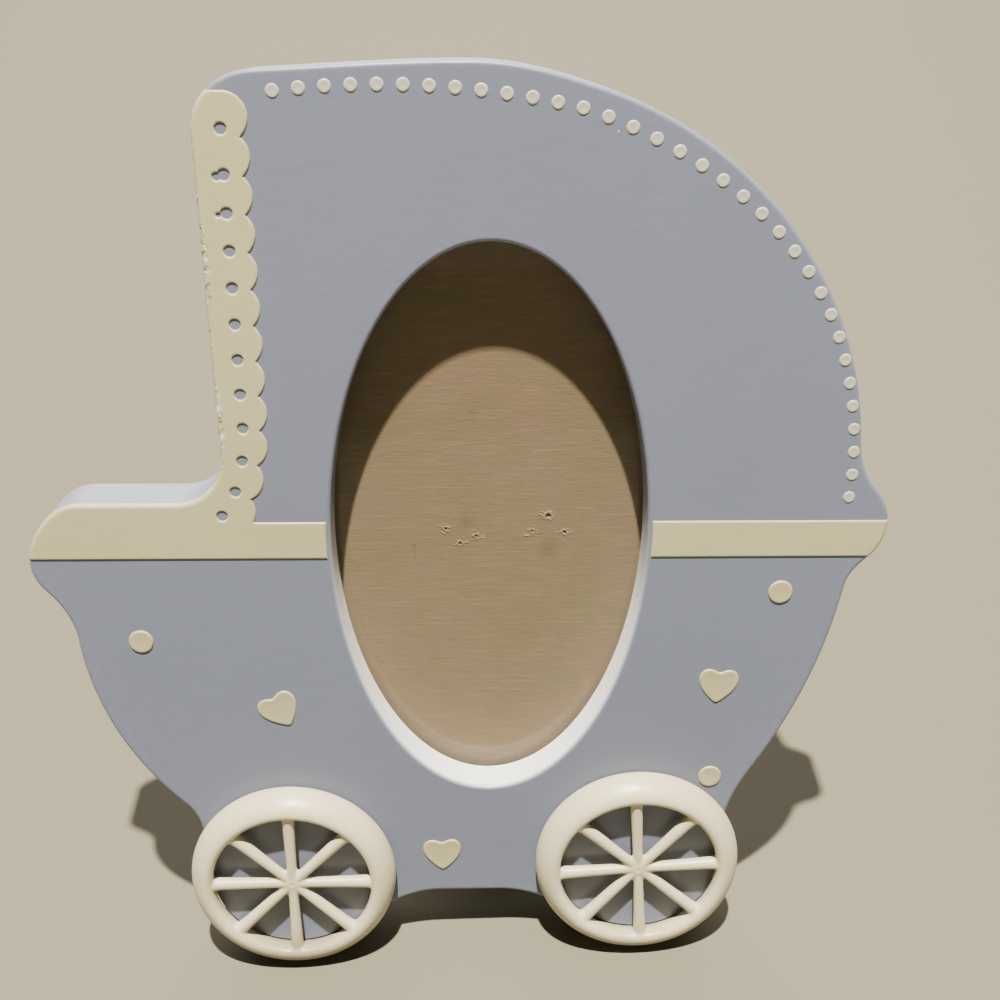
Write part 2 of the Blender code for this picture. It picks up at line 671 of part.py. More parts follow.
def build_hearts(parent, cream):
    """Raised hearts on the lower body, with a bevelled rim."""
    bm = bmesh.new()
    for x, z, turn in HEART_PLACES:
        points = heart(x, z, turn, HEART_WIDTH)
        lofted(bm, [(heart(x, z, turn, HEART_WIDTH - 2.0 * HEART_BEVEL), -RELIEF),
                    (points, HEART_BEVEL - RELIEF), (points, OVERSHOOT)])
    return make_cutter("heart_relief", bm, cream, parent)


def hood_dot_inset(angle):
    """How far in from the hood's edge a dot lies, by its angle from the hood's top."""
    first, last = HOOD_DOT_INSET_TURNS
    share = min(1.0, max(0.0, (angle - first) / (last - first)))
    return HOOD_DOT_INSET_END + (HOOD_DOT_INSET - HOOD_DOT_INSET_END) * (
        1.0 + math.cos(math.pi * share)) / 2.0


def hood_dot_places():
    """Centres of the hood's small dots: along a flat arc first, then round the hood's edge."""
    crown_x = HOOD_CENTRE_X + HOOD_DOT_CROWN_SHIFT
    flat_centre_z = HOOD_TOP_Z - HOOD_DOT_CROWN_INSET - HOOD_DOT_CROWN_RADIUS
    angle = math.asin((COLLAR_EDGE_X + HOOD_DOT_START - crown_x) / HOOD_DOT_CROWN_RADIUS)
    places = []
    while not places or places[-1][0] < HOOD_CENTRE_X + HOOD_DOT_TURN_SHIFT:
        places.append((crown_x + HOOD_DOT_CROWN_RADIUS * math.sin(angle),
                       flat_centre_z + HOOD_DOT_CROWN_RADIUS * math.cos(angle)))
        angle += HOOD_DOT_PITCH / HOOD_DOT_CROWN_RADIUS
    last_x, last_z = places[-1]
    angle = math.atan2(last_x - HOOD_CENTRE_X, last_z - HOOD_CENTRE_Z)
    while len(places) < HOOD_DOT_COUNT:
        angle += HOOD_DOT_TURN_PITCH / (HOOD_RADIUS - hood_dot_inset(angle))
        radius = HOOD_RADIUS - hood_dot_inset(angle)
        places.append((HOOD_CENTRE_X + radius * math.sin(angle),
                       HOOD_CENTRE_Z + radius * math.cos(angle)))
    return places


def wheel_dot_place():
    """Centre of the large dot just clear of the right wheel."""
    distance = WHEEL_RADIUS + WHEEL_DOT_GAP + BIG_DOT_RADIUS
    return (RIGHT_WHEEL.x + distance * math.cos(WHEEL_DOT_TURN),
            RIGHT_WHEEL.z + distance * math.sin(WHEEL_DOT_TURN))


def build_dots(parent, cream):
    """The hood's row of small dots and three larger dots, as low domes."""
    places = [(x, z, HOOD_DOT_RADIUS, HOOD_DOT_FACETS) for x, z in hood_dot_places()]
    for x, z in (*BIG_DOT_PLACES, wheel_dot_place()):
        places.append((x, z, BIG_DOT_RADIUS, ROUND_FACETS))
    bm = bmesh.new()
    for x, z, radius, count in places:
        lofted(bm, [(circle(x, z, DOT_CROWN * radius, count), -DOT_HEIGHT),
                    (circle(x, z, radius, count), -DOT_RIM * DOT_HEIGHT),
                    (circle(x, z, radius, count), OVERSHOOT)])
    return make_cutter("dot_relief", bm, cream, parent)


def button_places():
    """Pivot x, z and rest angle of the four turn buttons, all reaching over the board."""
    left = WINDOW_CENTRE_X - POCKET_WIDTH / 2.0 - BUTTON_OFFSET
    right = WINDOW_CENTRE_X + POCKET_WIDTH / 2.0 + BUTTON_OFFSET
    high = WINDOW_CENTRE_Z + BUTTON_RISE
    low = WINDOW_CENTRE_Z - BUTTON_DROP
    return {
        "upper_left": (left, high, 0.0),
        "upper_right": (right, high, math.pi),
        "lower_left": (left, low, 0.0),
        "lower_right": (right, low, math.pi),
    }


def build_screw_holes(parent, blue):
    """Blind holes in the slab's back for the turn-button screws."""
    bm = bmesh.new()
    floor = SLAB_THICKNESS - SCREW_DEPTH - TOUCH_GAP
    for x, z, _ in button_places().values():
        points = circle(x, z, SCREW_RADIUS + TOUCH_GAP, ROUND_FACETS)
        prism(bm, points, floor, SLAB_THICKNESS + OVERSHOOT)
    return make_cutter("screw_holes", bm, blue, parent)


def rim_section():
    """Points round the rim's section as radius and depth: an egg with its back cut flat."""
    half_width = RIM_WIDTH / 2.0
    half_depth = RIM_ROUND_DEPTH / 2.0
    middle_radius = WHEEL_RADIUS - math.hypot(half_width, RIM_SKEW)
    middle_y = half_depth - TOUCH_GAP - RIM_DEPTH
    section = []
    for k in range(RIM_FACETS):
        around = 2.0 * math.pi * (k + 0.5) / RIM_FACETS
        radius = middle_radius + half_width * math.cos(around) + RIM_SKEW * math.sin(around)
        section.append((radius, min(-TOUCH_GAP, middle_y + half_depth * math.sin(around))))
    return section


def build_wheel(name, centre, turn, parent, ivory):
    """One moulded wheel: a fat rim with a flat back, and round tapered spokes."""
    bm = bmesh.new()
    loops = []
    for k in range(WHEEL_FACETS):
        angle = 2.0 * math.pi * k / WHEEL_FACETS
        loops.append([bm.verts.new((radius * math.cos(angle), y, radius * math.sin(angle)))
                      for radius, y in rim_section()])
    for k in range(WHEEL_FACETS):
        bridge(bm, loops[k], loops[(k + 1) % WHEEL_FACETS])
    wheel = make_object(name, bm, ivory, parent)
    wheel.location = centre
    length = WHEEL_RADIUS - RIM_WIDTH / 2.0
    axis_y = -TOUCH_GAP - SPOKE_HEIGHT
    spokes = bmesh.new()
    for k in range(SPOKE_COUNT):
        angle = turn + 2.0 * math.pi * k / SPOKE_COUNT
        cone = bmesh.ops.create_cone(
            spokes, cap_ends=True, segments=SPOKE_FACETS, depth=length,
            radius1=SPOKE_RADIUS * SPOKE_TAPER, radius2=SPOKE_RADIUS)
        stand = Matrix.Translation((0.0, 0.0, length / 2.0))
        lie = Matrix.Rotation(math.pi / 2.0 - angle, 4, "Y")
        place = Matrix.Translation((0.0, axis_y, 0.0)) @ lie @ stand
        bmesh.ops.transform(spokes, matrix=place, verts=cone["verts"])
    hub = bmesh.ops.create_uvsphere(spokes, u_segments=ROUND_FACETS, v_segments=SPOKE_FACETS,
                                    radius=HUB_RADIUS)
    bmesh.ops.translate(spokes, vec=(0.0, axis_y, 0.0), verts=hub["verts"])
    cutter = make_cutter(name + "_spokes", spokes, ivory, parent)
    cutter.location = centre
    combine(wheel, cutter, "UNION", crossing=True)
    return wheel


def sheet_outline():
    """The outline of a sheet that fills the rear pocket."""
    return rounded_rectangle(WINDOW_CENTRE_X, WINDOW_CENTRE_Z, POCKET_WIDTH - 2.0 * TOUCH_GAP,
                             POCKET_HEIGHT - 2.0 * TOUCH_GAP, POCKET_CORNER)


def build_pane(parent, clear):
    """The clear pane that lies against the pocket's seat."""
    bm = bmesh.new()
    prism(bm, sheet_outline(), PANE_FRONT, PANE_FRONT + PANE_THICKNESS)
    return make_object("clear_pane", bm, clear, parent)


def prong_places():
    """Offsets of a rivet's four prongs, each with its turn about the rivet."""
    reach = PRONG_SPREAD / 2.0
    turns = [PRONG_TURN + quarter * math.pi / 2.0 for quarter in range(4)]
    return [(reach * math.cos(turn), reach * math.sin(turn), turn) for turn in turns]


def prong_outline(centre_x, centre_z, angle, margin):
    """The rectangle of one prong, grown by a margin."""
    half_width = PRONG_WIDTH / 2.0 + margin
    half_thickness = PRONG_THICKNESS / 2.0 + margin
    corners = []
    for across, along in ((-1, -1), (-1, 1), (1, 1), (1, -1)):
        offset = Vector((across * half_thickness, along * half_width))
        offset.rotate(Matrix.Rotation(angle, 2))
        corners.append((centre_x + offset.x, centre_z + offset.y))
    return corners


def rivet_centres():
    """The two rivets of a hinge leaf, by their distance from the hinge's middle."""
    return (-RIVET_SPACING / 2.0, RIVET_SPACING / 2.0)


def prong_holes(name, centre_x, centre_z, front, back, parent, material):
    """A cutter for the holes of both rivets, from front to back."""
    bm = bmesh.new()
    for shift in rivet_centres():
        for x, z, angle in prong_places():
            points = prong_outline(centre_x + shift + x, centre_z + z, angle, TOUCH_GAP)
            prism(bm, points, front, back)
    return make_cutter(name, bm, material, parent)


def build_sheet(name, front, thickness, parent, material):
    """A sheet in the rear pocket, pierced for the rivets."""
    bm = bmesh.new()
    prism(bm, sheet_outline(), front, front + thickness)
    sheet = make_object(name, bm, material, parent)
    holes = prong_holes(name + "_holes", HINGE_X, RIVET_Z, front - OVERSHOOT,
                        front + thickness + OVERSHOOT, parent, material)
    combine(sheet, holes, "DIFFERENCE")
    return sheet


def curl(bm, edge_verts):
    """Roll a leaf's end round the pin, which lies along X through the origin."""
    ring = edge_verts
    for step in range(1, CURL_STEPS + 1):
        turned = []
        for vertex in edge_verts:
            point = Matrix.Rotation(CURL_TURN * step / CURL_STEPS, 3, "X") @ vertex.co
            turned.append(bm.verts.new(point))
        bridge(bm, ring, turned)
        ring = turned
    bm.faces.new(ring)


def hinge_leaf(name, parent, steel, knuckles, reversed_leaf):
    """A stamped leaf above the pin: a plate with knuckles rolled round the pin.

    The moving leaf is the same form turned half a turn about the pin.
    """
    front = -KNUCKLE_RADIUS
    back = front + LEAF_THICKNESS
    edges = sorted({-LEAF_WIDTH / 2.0, LEAF_WIDTH / 2.0} | {x for span in knuckles for x in span})
    bm = bmesh.new()
    columns = []
    for x in edges:
        columns.append([bm.verts.new((x, y, z)) for y, z in (
            (front, SHOULDER), (back, SHOULDER), (back, LEAF_LENGTH), (front, LEAF_LENGTH))])
    bm.faces.new(columns[0])
    bm.faces.new(list(reversed(columns[-1])))
    for span, left, right in zip(zip(edges, edges[1:]), columns, columns[1:]):
        for k in (1, 2, 3):
            after = (k + 1) % 4
            bm.faces.new((left[k], right[k], right[after], left[after]))
        rim = [left[0], left[1], right[1], right[0]]
        if span in knuckles:
            neck = [bm.verts.new((vertex.co.x, vertex.co.y, 0.0)) for vertex in rim]
            bridge(bm, rim, neck)
            curl(bm, neck)
        else:
            bm.faces.new(rim)
    if reversed_leaf:
        bmesh.ops.rotate(bm, matrix=Matrix.Rotation(math.pi, 3, "X"), verts=bm.verts)
    return make_object(name, bm, steel, parent)


def build_rivet(name, x, z, cap_front, tip_y, parent, steel):
    """A rivet with a low round cap at the back and four prongs reaching forward."""
    cap = circle(x, z, RIVET_CAP_RADIUS, RIVET_FACETS)
    bm = bmesh.new()
    lofted(bm, [(cap, cap_front), (cap, cap_front + RIVET_CAP_EDGE),
                (circle(x, z, RIVET_CROWN * RIVET_CAP_RADIUS, RIVET_FACETS),
                 cap_front + RIVET_CAP_HEIGHT)])
    rivet = make_object(name, bm, steel, parent)
    prongs = bmesh.new()
    for shift_x, shift_z, angle in prong_places():
        points = prong_outline(x + shift_x, z + shift_z, angle, 0.0)
        prism(prongs, points, tip_y, cap_front + RIVET_CAP_EDGE / 2.0)
    combine(rivet, make_cutter(name + "_prongs", prongs, steel, parent), "UNION")
    return rivet


def build_hinge(frame, pivot, steel):
    """Both leaves, the pin and the four rivets of the easel hinge."""
    half = LEAF_WIDTH / 2.0
    middle = KNUCKLE_SHARE * half
    place = Matrix.Translation((HINGE_X, HINGE_Y, HINGE_Z))
    fixed_axis = make_empty("fixed_leaf_axis", place, frame)
    outer = [(-half, -middle), (middle, half)]
    board_leaf = hinge_leaf("hinge_board_leaf", fixed_axis, steel, outer, False)
    holes = prong_holes("board_leaf_holes", 0.0, RIVET_HEIGHT, -KNUCKLE_RADIUS - OVERSHOOT,
                        LEAF_THICKNESS - KNUCKLE_RADIUS + OVERSHOOT, fixed_axis, steel)
    combine(board_leaf, holes, "DIFFERENCE")
    inner = [(TOUCH_GAP - middle, middle - TOUCH_GAP)]
    strut_leaf = hinge_leaf("hinge_strut_leaf", pivot, steel, inner, True)
    holes = prong_holes("strut_leaf_holes", 0.0, -RIVET_HEIGHT, KNUCKLE_BORE - OVERSHOOT,
                        KNUCKLE_RADIUS + OVERSHOOT, pivot, steel)
    combine(strut_leaf, holes, "DIFFERENCE")
    pin = bmesh.new()
    bmesh.ops.create_cone(pin, cap_ends=True, segments=ROUND_FACETS, radius1=PIN_RADIUS,
                          radius2=PIN_RADIUS, depth=LEAF_WIDTH + 2.0 * TOUCH_GAP,
                          matrix=Matrix.Rotation(math.pi / 2.0, 4, "Y"))
    make_object("hinge_pin", pin, steel, fixed_axis)
    for side, shift in zip(("left", "right"), rivet_centres()):
        cap_front = LEAF_THICKNESS - KNUCKLE_RADIUS + TOUCH_GAP
        build_rivet("board_rivet_" + side, shift, RIVET_HEIGHT, cap_front,
                    BOARD_FRONT + PRONG_TIP_COVER - HINGE_Y, fixed_axis, steel)
        build_rivet("strut_rivet_" + side, shift, -RIVET_HEIGHT, KNUCKLE_RADIUS + TOUCH_GAP,
                    PIN_RADIUS - STRUT_THICKNESS + PRONG_TIP_COVER, pivot, steel)


def build_strut(pivot, velour, length):
    """The strut, cut level with the floor at its foot."""
    back = PIN_RADIUS
    front = back - STRUT_THICKNESS
    top = STRUT_TOP_WIDTH / 2.0
    foot = STRUT_FOOT_WIDTH / 2.0
    outline = [(-foot, -length), (-top, -SHOULDER - STRUT_CORNER),
               (STRUT_CORNER - top, -SHOULDER), (top - STRUT_CORNER, -SHOULDER),
               (top, -SHOULDER - STRUT_CORNER), (foot, -length)]
    bm = bmesh.new()
    prism(bm, outline, front, back)
    to_pivot = pivot.matrix_world.inverted()
    cut = bmesh.ops.bisect_plane(bm, geom=bm.verts[:] + bm.edges[:] + bm.faces[:],
                                 plane_co=to_pivot.translation,
                                 plane_no=to_pivot.to_3x3() @ Vector((0.0, 0.0, 1.0)),
                                 clear_inner=True)
    cut_edges = [item for item in cut["geom_cut"] if isinstance(item, bmesh.types.BMEdge)]
    bmesh.ops.contextual_create(bm, geom=cut_edges)
    strut = make_object("easel_strut", bm, velour, pivot)
    holes = prong_holes("strut_holes", 0.0, -RIVET_HEIGHT, front - OVERSHOOT, back + OVERSHOOT,
                        pivot, velour)
    combine(strut, holes, "DIFFERENCE")
    return strut


def build_button(name, pivot, brass):
    """A turn button: a plate with round ends, pierced for its screw."""
    front = SLAB_THICKNESS + TOUCH_GAP
    back = front + BUTTON_THICKNESS
    half_width = BUTTON_WIDTH / 2.0
    far = BUTTON_LENGTH - BUTTON_WIDTH
    outline = []
    for centre_x, start in ((0.0, math.pi / 2.0), (far, -math.pi / 2.0)):
        for step in range(ROUND_FACETS // 2 + 1):
            angle = start + 2.0 * math.pi * step / ROUND_FACETS
            outline.append((centre_x + half_width * math.cos(angle), half_width * math.sin(angle)))
    bm = bmesh.new()
    prism(bm, outline, front, back)
    button = make_object("turn_button_" + name, bm, brass, pivot)
    hole = bmesh.new()
    prism(hole, circle(0.0, 0.0, SCREW_RADIUS + TOUCH_GAP, ROUND_FACETS),
          front - OVERSHOOT, back + OVERSHOOT)
    combine(button, make_cutter("turn_button_hole_" + name, hole, brass, pivot), "DIFFERENCE")
    return button


def build_screw(name, x, z, parent, steel):
    """A turn button's screw, with a domed head and a short point."""
    point_y = SLAB_THICKNESS - SCREW_DEPTH
    head_y = SLAB_THICKNESS + BUTTON_THICKNESS + 2.0 * TOUCH_GAP
    shank = circle(x, z, SCREW_RADIUS, ROUND_FACETS)
    head = circle(x, z, SCREW_HEAD_RADIUS, ROUND_FACETS)
    bm = bmesh.new()
    lofted(bm, [(circle(x, z, SCREW_POINT_RADIUS, ROUND_FACETS), point_y),
                (shank, point_y + SCREW_POINT_LENGTH), (shank, head_y), (head, head_y),
                (head, head_y + SCREW_HEAD_EDGE),
                (circle(x, z, SCREW_CROWN * SCREW_HEAD_RADIUS, ROUND_FACETS),
                 head_y + SCREW_HEAD_HEIGHT)])
    return make_object("button_screw_" + name, bm, steel, parent)


def build_turn_buttons(parent, brass, steel):
    """Four turn buttons that hold the board in, each on its own screw."""
    for name, (x, z, turn) in button_places().items():
        place = Matrix.Translation((x, 0.0, z)) @ Matrix.Rotation(-turn, 4, "Y")
        build_button(name, make_empty("turn_pivot_" + name, place, parent), brass)
        build_screw(name, x, z, parent, steel)


def world_points(objects):
    """World places of the objects' evaluated vertices."""
    graph = bpy.context.evaluated_depsgraph_get()
    points = []
    for part in objects:
        evaluated = part.evaluated_get(graph)
        points += [evaluated.matrix_world @ vertex.co for vertex in evaluated.data.vertices]
    return points


def centre_on_floor(stand):
    """Move the whole frame so that the middle of its box stands over the origin."""
    parts = [part for part in bpy.data.objects if part.type == "MESH" and not part.hide_render]
    points = world_points(parts)
    for axis in (0, 1):
        values = [point[axis] for point in points]
        stand.location[axis] -= (min(values) + max(values)) / 2.0
    bpy.context.view_layer.update()


def main():
    for old in list(bpy.data.objects):
        bpy.data.objects.remove(old, do_unlink=True)

    blue = make_material("pale_blue_paint", (0.42, 0.46, 0.60), 0.42)
    cream = make_material("cream_paint", (0.78, 0.72, 0.52), 0.45)
    ivory = make_material("ivory_paint", (0.84, 0.79, 0.68), 0.38)
    clear = make_material("clear_sheet", (0.95, 0.97, 0.97), 0.05, transmission=0.95)
    hardboard = make_material("tan_hardboard", (0.38, 0.28, 0.19), 0.75)
    velour = make_material("black_velour", (0.02, 0.02, 0.025), 0.95)
    steel = make_material("plated_steel", (0.62, 0.62, 0.60), 0.32, metallic=1.0)
    brass = make_material("brassed_steel", (0.70, 0.52, 0.26), 0.30, metallic=1.0)

    stand = make_empty("stand", Matrix.Rotation(-LEAN, 4, "X"))
    frame = make_empty("slab_axes", Matrix.Rotation(BAND_TILT, 4, "Y"), stand)
    wheels = [
        build_wheel("left_wheel", LEFT_WHEEL, LEFT_SPOKE_TURN, frame, ivory),
        build_wheel("right_wheel", RIGHT_WHEEL, RIGHT_SPOKE_TURN, frame, ivory),
    ]
    bpy.context.view_layer.update()
    stand.location.z -= min(point.z for point in world_points(wheels))

    hinge_place = Matrix.Translation((HINGE_X, HINGE_Y, HINGE_Z))
    pivot = make_empty("strut_pivot", hinge_place @ Matrix.Rotation(STRUT_OPENING, 4, "X"), frame)
    bpy.context.view_layer.update()
    reach = pivot.matrix_world.translation.z / math.cos(STRUT_OPENING - LEAN)

    body = build_body(frame, blue, cream)
    build_pane(frame, clear)
    build_sheet("backboard", BOARD_FRONT, BOARD_THICKNESS, frame, hardboard)
    build_sheet("velour_backing", VELOUR_FRONT, VELOUR_THICKNESS, frame, velour)
    build_hinge(frame, pivot, steel)
    build_strut(pivot, velour, reach * STRUT_SPARE)
    build_turn_buttons(frame, brass, steel)
    creases = make_crease_group()
    for part in (body, *wheels):
        crease(part, creases)
    bpy.context.view_layer.update()
    centre_on_floor(stand)


if __name__ == "__main__":
    main()
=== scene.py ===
"""Dresses a pram-shaped baby photo frame over its CAD model.

Pieces are drawn in the slab's own axes, in metres: X runs along the band, Z up the slab and Y
back from the front face, with the origin on the front face midway between the wheel centres.
"""

import json
import math
import random

import bmesh
import bpy
import numpy as np
from bpy.props import FloatProperty, FloatVectorProperty, IntProperty, PointerProperty
from mathutils import Euler, Matrix, Vector
from mathutils.geometry import delaunay_2d_cdt, interpolate_bezier


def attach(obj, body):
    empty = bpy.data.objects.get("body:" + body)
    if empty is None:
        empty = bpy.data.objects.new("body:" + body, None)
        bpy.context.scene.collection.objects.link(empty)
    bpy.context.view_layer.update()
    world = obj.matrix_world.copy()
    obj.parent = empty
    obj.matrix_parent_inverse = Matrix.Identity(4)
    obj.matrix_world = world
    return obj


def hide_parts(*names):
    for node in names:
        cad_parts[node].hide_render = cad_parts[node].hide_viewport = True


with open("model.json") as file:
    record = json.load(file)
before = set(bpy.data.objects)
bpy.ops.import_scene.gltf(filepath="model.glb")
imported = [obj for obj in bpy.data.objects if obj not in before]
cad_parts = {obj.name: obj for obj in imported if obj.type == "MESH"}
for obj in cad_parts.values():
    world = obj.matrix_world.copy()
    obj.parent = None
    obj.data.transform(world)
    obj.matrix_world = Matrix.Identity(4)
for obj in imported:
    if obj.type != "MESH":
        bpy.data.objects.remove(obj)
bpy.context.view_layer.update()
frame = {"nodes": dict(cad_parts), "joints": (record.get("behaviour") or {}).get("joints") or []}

bl_info = {
    "name": "Pram Photo Frame",
    "version": (1, 0, 0),
    "blender": (4, 5, 0),
    "location": "3D View > Sidebar > Pram Frame",
    "description": "Builds the painted, scalloped pram photo frame piece by piece",
    "category": "Object",
}

MM = 0.001
UP = math.pi / 2.0

# How far the trim and the large dots stand out from the slab's face
RELIEF = 0.3 * MM
DOT_HEIGHT = 0.35 * MM

# Play that the CAD model leaves between its loose pieces
TOUCH_GAP = 0.3 * MM

# How far fine curves, and the handle's tip, are drawn inside the CAD model's faceted ones
FACET_SLACK = 0.07 * MM
TIP_SLACK = 0.02 * MM


def find_slab():
    """The slab's axes in the world, from the strut's hinge, the buttons and the wheels."""
    axes = {joint["name"]: Vector(joint["axis"]) for joint in frame["joints"]}
    across = -axes["strut_fold"].normalized()
    back = axes["turn_upper_left"].normalized()
    turn = Matrix((across, back, across.cross(back)))
    nodes = frame["nodes"]
    middles = []
    for wheel in ("left_wheel", "right_wheel"):
        places = [turn @ vertex.co for vertex in nodes[wheel].data.vertices]
        middles.append([(min(p[axis] for p in places) + max(p[axis] for p in places)) / 2.0
                        for axis in range(3)])
    face = min((turn @ vertex.co).y for vertex in nodes["frame_body"].data.vertices) + DOT_HEIGHT
    origin = Vector(((middles[0][0] + middles[1][0]) / 2.0, face,
                     (middles[0][2] + middles[1][2]) / 2.0))
    return Matrix.Translation(turn.transposed() @ origin) @ turn.transposed().to_4x4()


SLAB = find_slab()
TO_SLAB = SLAB.inverted()


def slab_box(node):
    """Lowest and highest corners of a CAD node along the slab's axes."""
    places = [TO_SLAB @ vertex.co for vertex in frame["nodes"][node].data.vertices]
    return (Vector([min(place[axis] for place in places) for axis in range(3)]),
            Vector([max(place[axis] for place in places) for axis in range(3)]))


def middle_of(low, high):
    """Middle of a box across and up the slab."""
    return Vector(((low.x + high.x) / 2.0, (low.z + high.z) / 2.0))


BODY_LOW, BODY_HIGH = slab_box("frame_body")
PANE_LOW, PANE_HIGH = slab_box("clear_pane")
BOARD_LOW, BOARD_HIGH = slab_box("backboard")
LEFT_WHEEL_LOW, LEFT_WHEEL_HIGH = slab_box("left_wheel")
RIGHT_WHEEL_LOW, RIGHT_WHEEL_HIGH = slab_box("right_wheel")
LEFT_WHEEL = middle_of(LEFT_WHEEL_LOW, LEFT_WHEEL_HIGH)
RIGHT_WHEEL = middle_of(RIGHT_WHEEL_LOW, RIGHT_WHEEL_HIGH)
SCREW_BOXES = [slab_box("button_screw_" + place)
               for place in ("upper_left", "upper_right", "lower_left", "lower_right")]

# Pocket, window and slab, as the CAD model has them
SLAB_THICKNESS = BODY_HIGH.y
WINDOW_DEPTH = PANE_LOW.y - TOUCH_GAP
POCKET_WIDTH = PANE_HIGH.x - PANE_LOW.x + 2.0 * TOUCH_GAP
POCKET_HEIGHT = PANE_HIGH.z - PANE_LOW.z + 2.0 * TOUCH_GAP
POCKET_CORNER = 3.0 * MM
WINDOW_CENTRE = middle_of(PANE_LOW, PANE_HIGH)
WINDOW_WIDTH = 64.4 * MM
WINDOW_HEIGHT = 119.6 * MM
WINDOW_REACH = 1.06  # out to here, as a share of the way to its edge, is the window's rim
REAR_CHAMFER = 0.8 * MM
FLOOR_CLEARANCE = 0.5 * MM
SCREW_HOLE_RADIUS = 1.2 * MM
SCREW_HOLE_FLOOR = SCREW_BOXES[0][0].y - TOUCH_GAP

# Hood
HOOD_CENTRE = WINDOW_CENTRE + Vector((-3.5 * MM, 12.9 * MM))
HOOD_CROWN_RISE = 0.85 * MM
HOOD_TOP_Z = BODY_HIGH.z - HOOD_CROWN_RISE - FACET_SLACK
HOOD_RADIUS = HOOD_TOP_Z - HOOD_CENTRE.y
HOOD_CORNER_RADIUS = 11.5 * MM
HOOD_CORNER_DROP = 0.9 * MM
HOOD_CORNER_HEADING = math.radians(3.2)
HOOD_SHOULDER_TURN = math.radians(18.0)
COLLAR_SPREAD = math.radians(0.5)

# Ledge and handle tip on the left, with the outline's heading at each of its stations
HANDLE_TIP_X = BODY_LOW.x + TIP_SLACK
LEDGE_TOP_Z = 87.6 * MM
LEDGE_LENGTH = 40.35 * MM
LEDGE_FILLET = 9.8 * MM
COLLAR_EDGE_X = HANDLE_TIP_X + LEDGE_LENGTH
HANDLE_TOP_RUN = 11.5 * MM
HANDLE_SHOULDER_RUN = 3.5 * MM
HANDLE_SHOULDER_DROP = 4.4 * MM
HANDLE_SHOULDER_HEADING = math.radians(52.0)
HANDLE_TIP_DROP = 13.2 * MM
HANDLE_TIP_HEADING = math.radians(91.0)
HANDLE_CHIN_RUN = 2.4 * MM
HANDLE_CHIN_DROP = 19.2 * MM
HANDLE_CHIN_HEADING = math.radians(133.0)
HANDLE_BULGE = 7.55 * MM

# Nose on the right
NECK_X = HOOD_CENTRE.x + HOOD_RADIUS
NOSE_TIP_X = BODY_HIGH.x
NECK_RISE = 11.9 * MM
NOSE_SHOULDER_RUN = 3.4 * MM
NOSE_SHOULDER_RISE = 3.1 * MM
NOSE_SHOULDER_HEADING = math.radians(-48.0)
NOSE_TIP_DROP = 4.5 * MM
NOSE_CHIN_RUN = 3.6 * MM
NOSE_CHIN_DROP = 12.9 * MM
NOSE_CHIN_HEADING = math.radians(-136.0)

# Flanks of the lower body, the lobes behind the wheels and the arch between them
LEFT_FLANK_X = HANDLE_TIP_X + HANDLE_BULGE
LEFT_FLANK_RADIUS = 64.2 * MM
LEFT_FLANK_DROP = 30.6 * MM
LEFT_FLANK_ARC = (math.radians(4.0), math.radians(45.0))
RIGHT_FLANK_RADIUS = 117.6 * MM
RIGHT_FLANK_DROP = 19.1 * MM
RIGHT_FLANK_ARC = (math.radians(8.0), math.radians(31.0))
RIGHT_FLANK_INSET = 0.25 * MM
WHEEL_RADIUS = (RIGHT_WHEEL_HIGH.x - RIGHT_WHEEL_LOW.x) / 2.0 - FACET_SLACK
LOBE_RADIUS = WHEEL_RADIUS - 3.3 * MM
RIGHT_LOBE_ARC = (math.radians(8.0), math.radians(-107.0))
LEFT_LOBE_ARC = (math.radians(-64.0), math.radians(-180.0))
ARCH_TOP_Z = -8.2 * MM
ARCH_FLAT = 14.0 * MM
ARCH_SHIFT = 1.0 * MM

# Band and scalloped collar with its eyelets
BAND_TOP_Z = LEDGE_TOP_Z - 4.0 * MM
BAND_BOTTOM_Z = BAND_TOP_Z - 8.0 * MM
SCALLOP_PITCH = 6.87 * MM
SCALLOP_RADIUS = 4.5 * MM
SCALLOP_REACH = 5.4 * MM
SCALLOP_TOP_Z = HOOD_TOP_Z - 9.0 * MM
SCALLOP_TOP_END = math.radians(95.0)
SCALLOP_COUNT = math.ceil((SCALLOP_TOP_Z - BAND_TOP_Z) / SCALLOP_PITCH)
COLLAR_BEND = 0.4 * MM
BENT_SCALLOPS = 3
EYELET_RADIUS = 1.05 * MM
EYELET_REACH = 4.9 * MM
EYELET_DROP = 3.1 * MM
EYELET_END_LIFT = 1.1 * MM
EYELET_BEND = 0.6 * MM
EYELET_LIFT = 0.12 * MM

# Gaps in the cream that run into an eyelet: its number from the top, offset and radius
EYELET_BREAKS = ((1, (-1.35 * MM, -0.35 * MM), 0.75 * MM), (2, (-1.5 * MM, -0.3 * MM), 0.42 * MM))

# Hearts: waves of their outline, how much they are pinched, and how their middle sinks
HEART_WIDTH = 8.6 * MM
HEART_WAVES = (15.1, -3.7, -1.45, -0.35)
HEART_PINCH = 0.13
HEART_WAVE_SCALE = 32.0
HEART_DIP_START = 0.5 * MM
HEART_DIP_RUN = 1.0 * MM
HEART_PLACES = (
    (-39.9 * MM, 40.6 * MM, math.radians(29.0)),
    (54.4 * MM, 45.9 * MM, math.radians(-4.0)),
    (-5.3 * MM, 2.7 * MM, math.radians(2.0)),
)

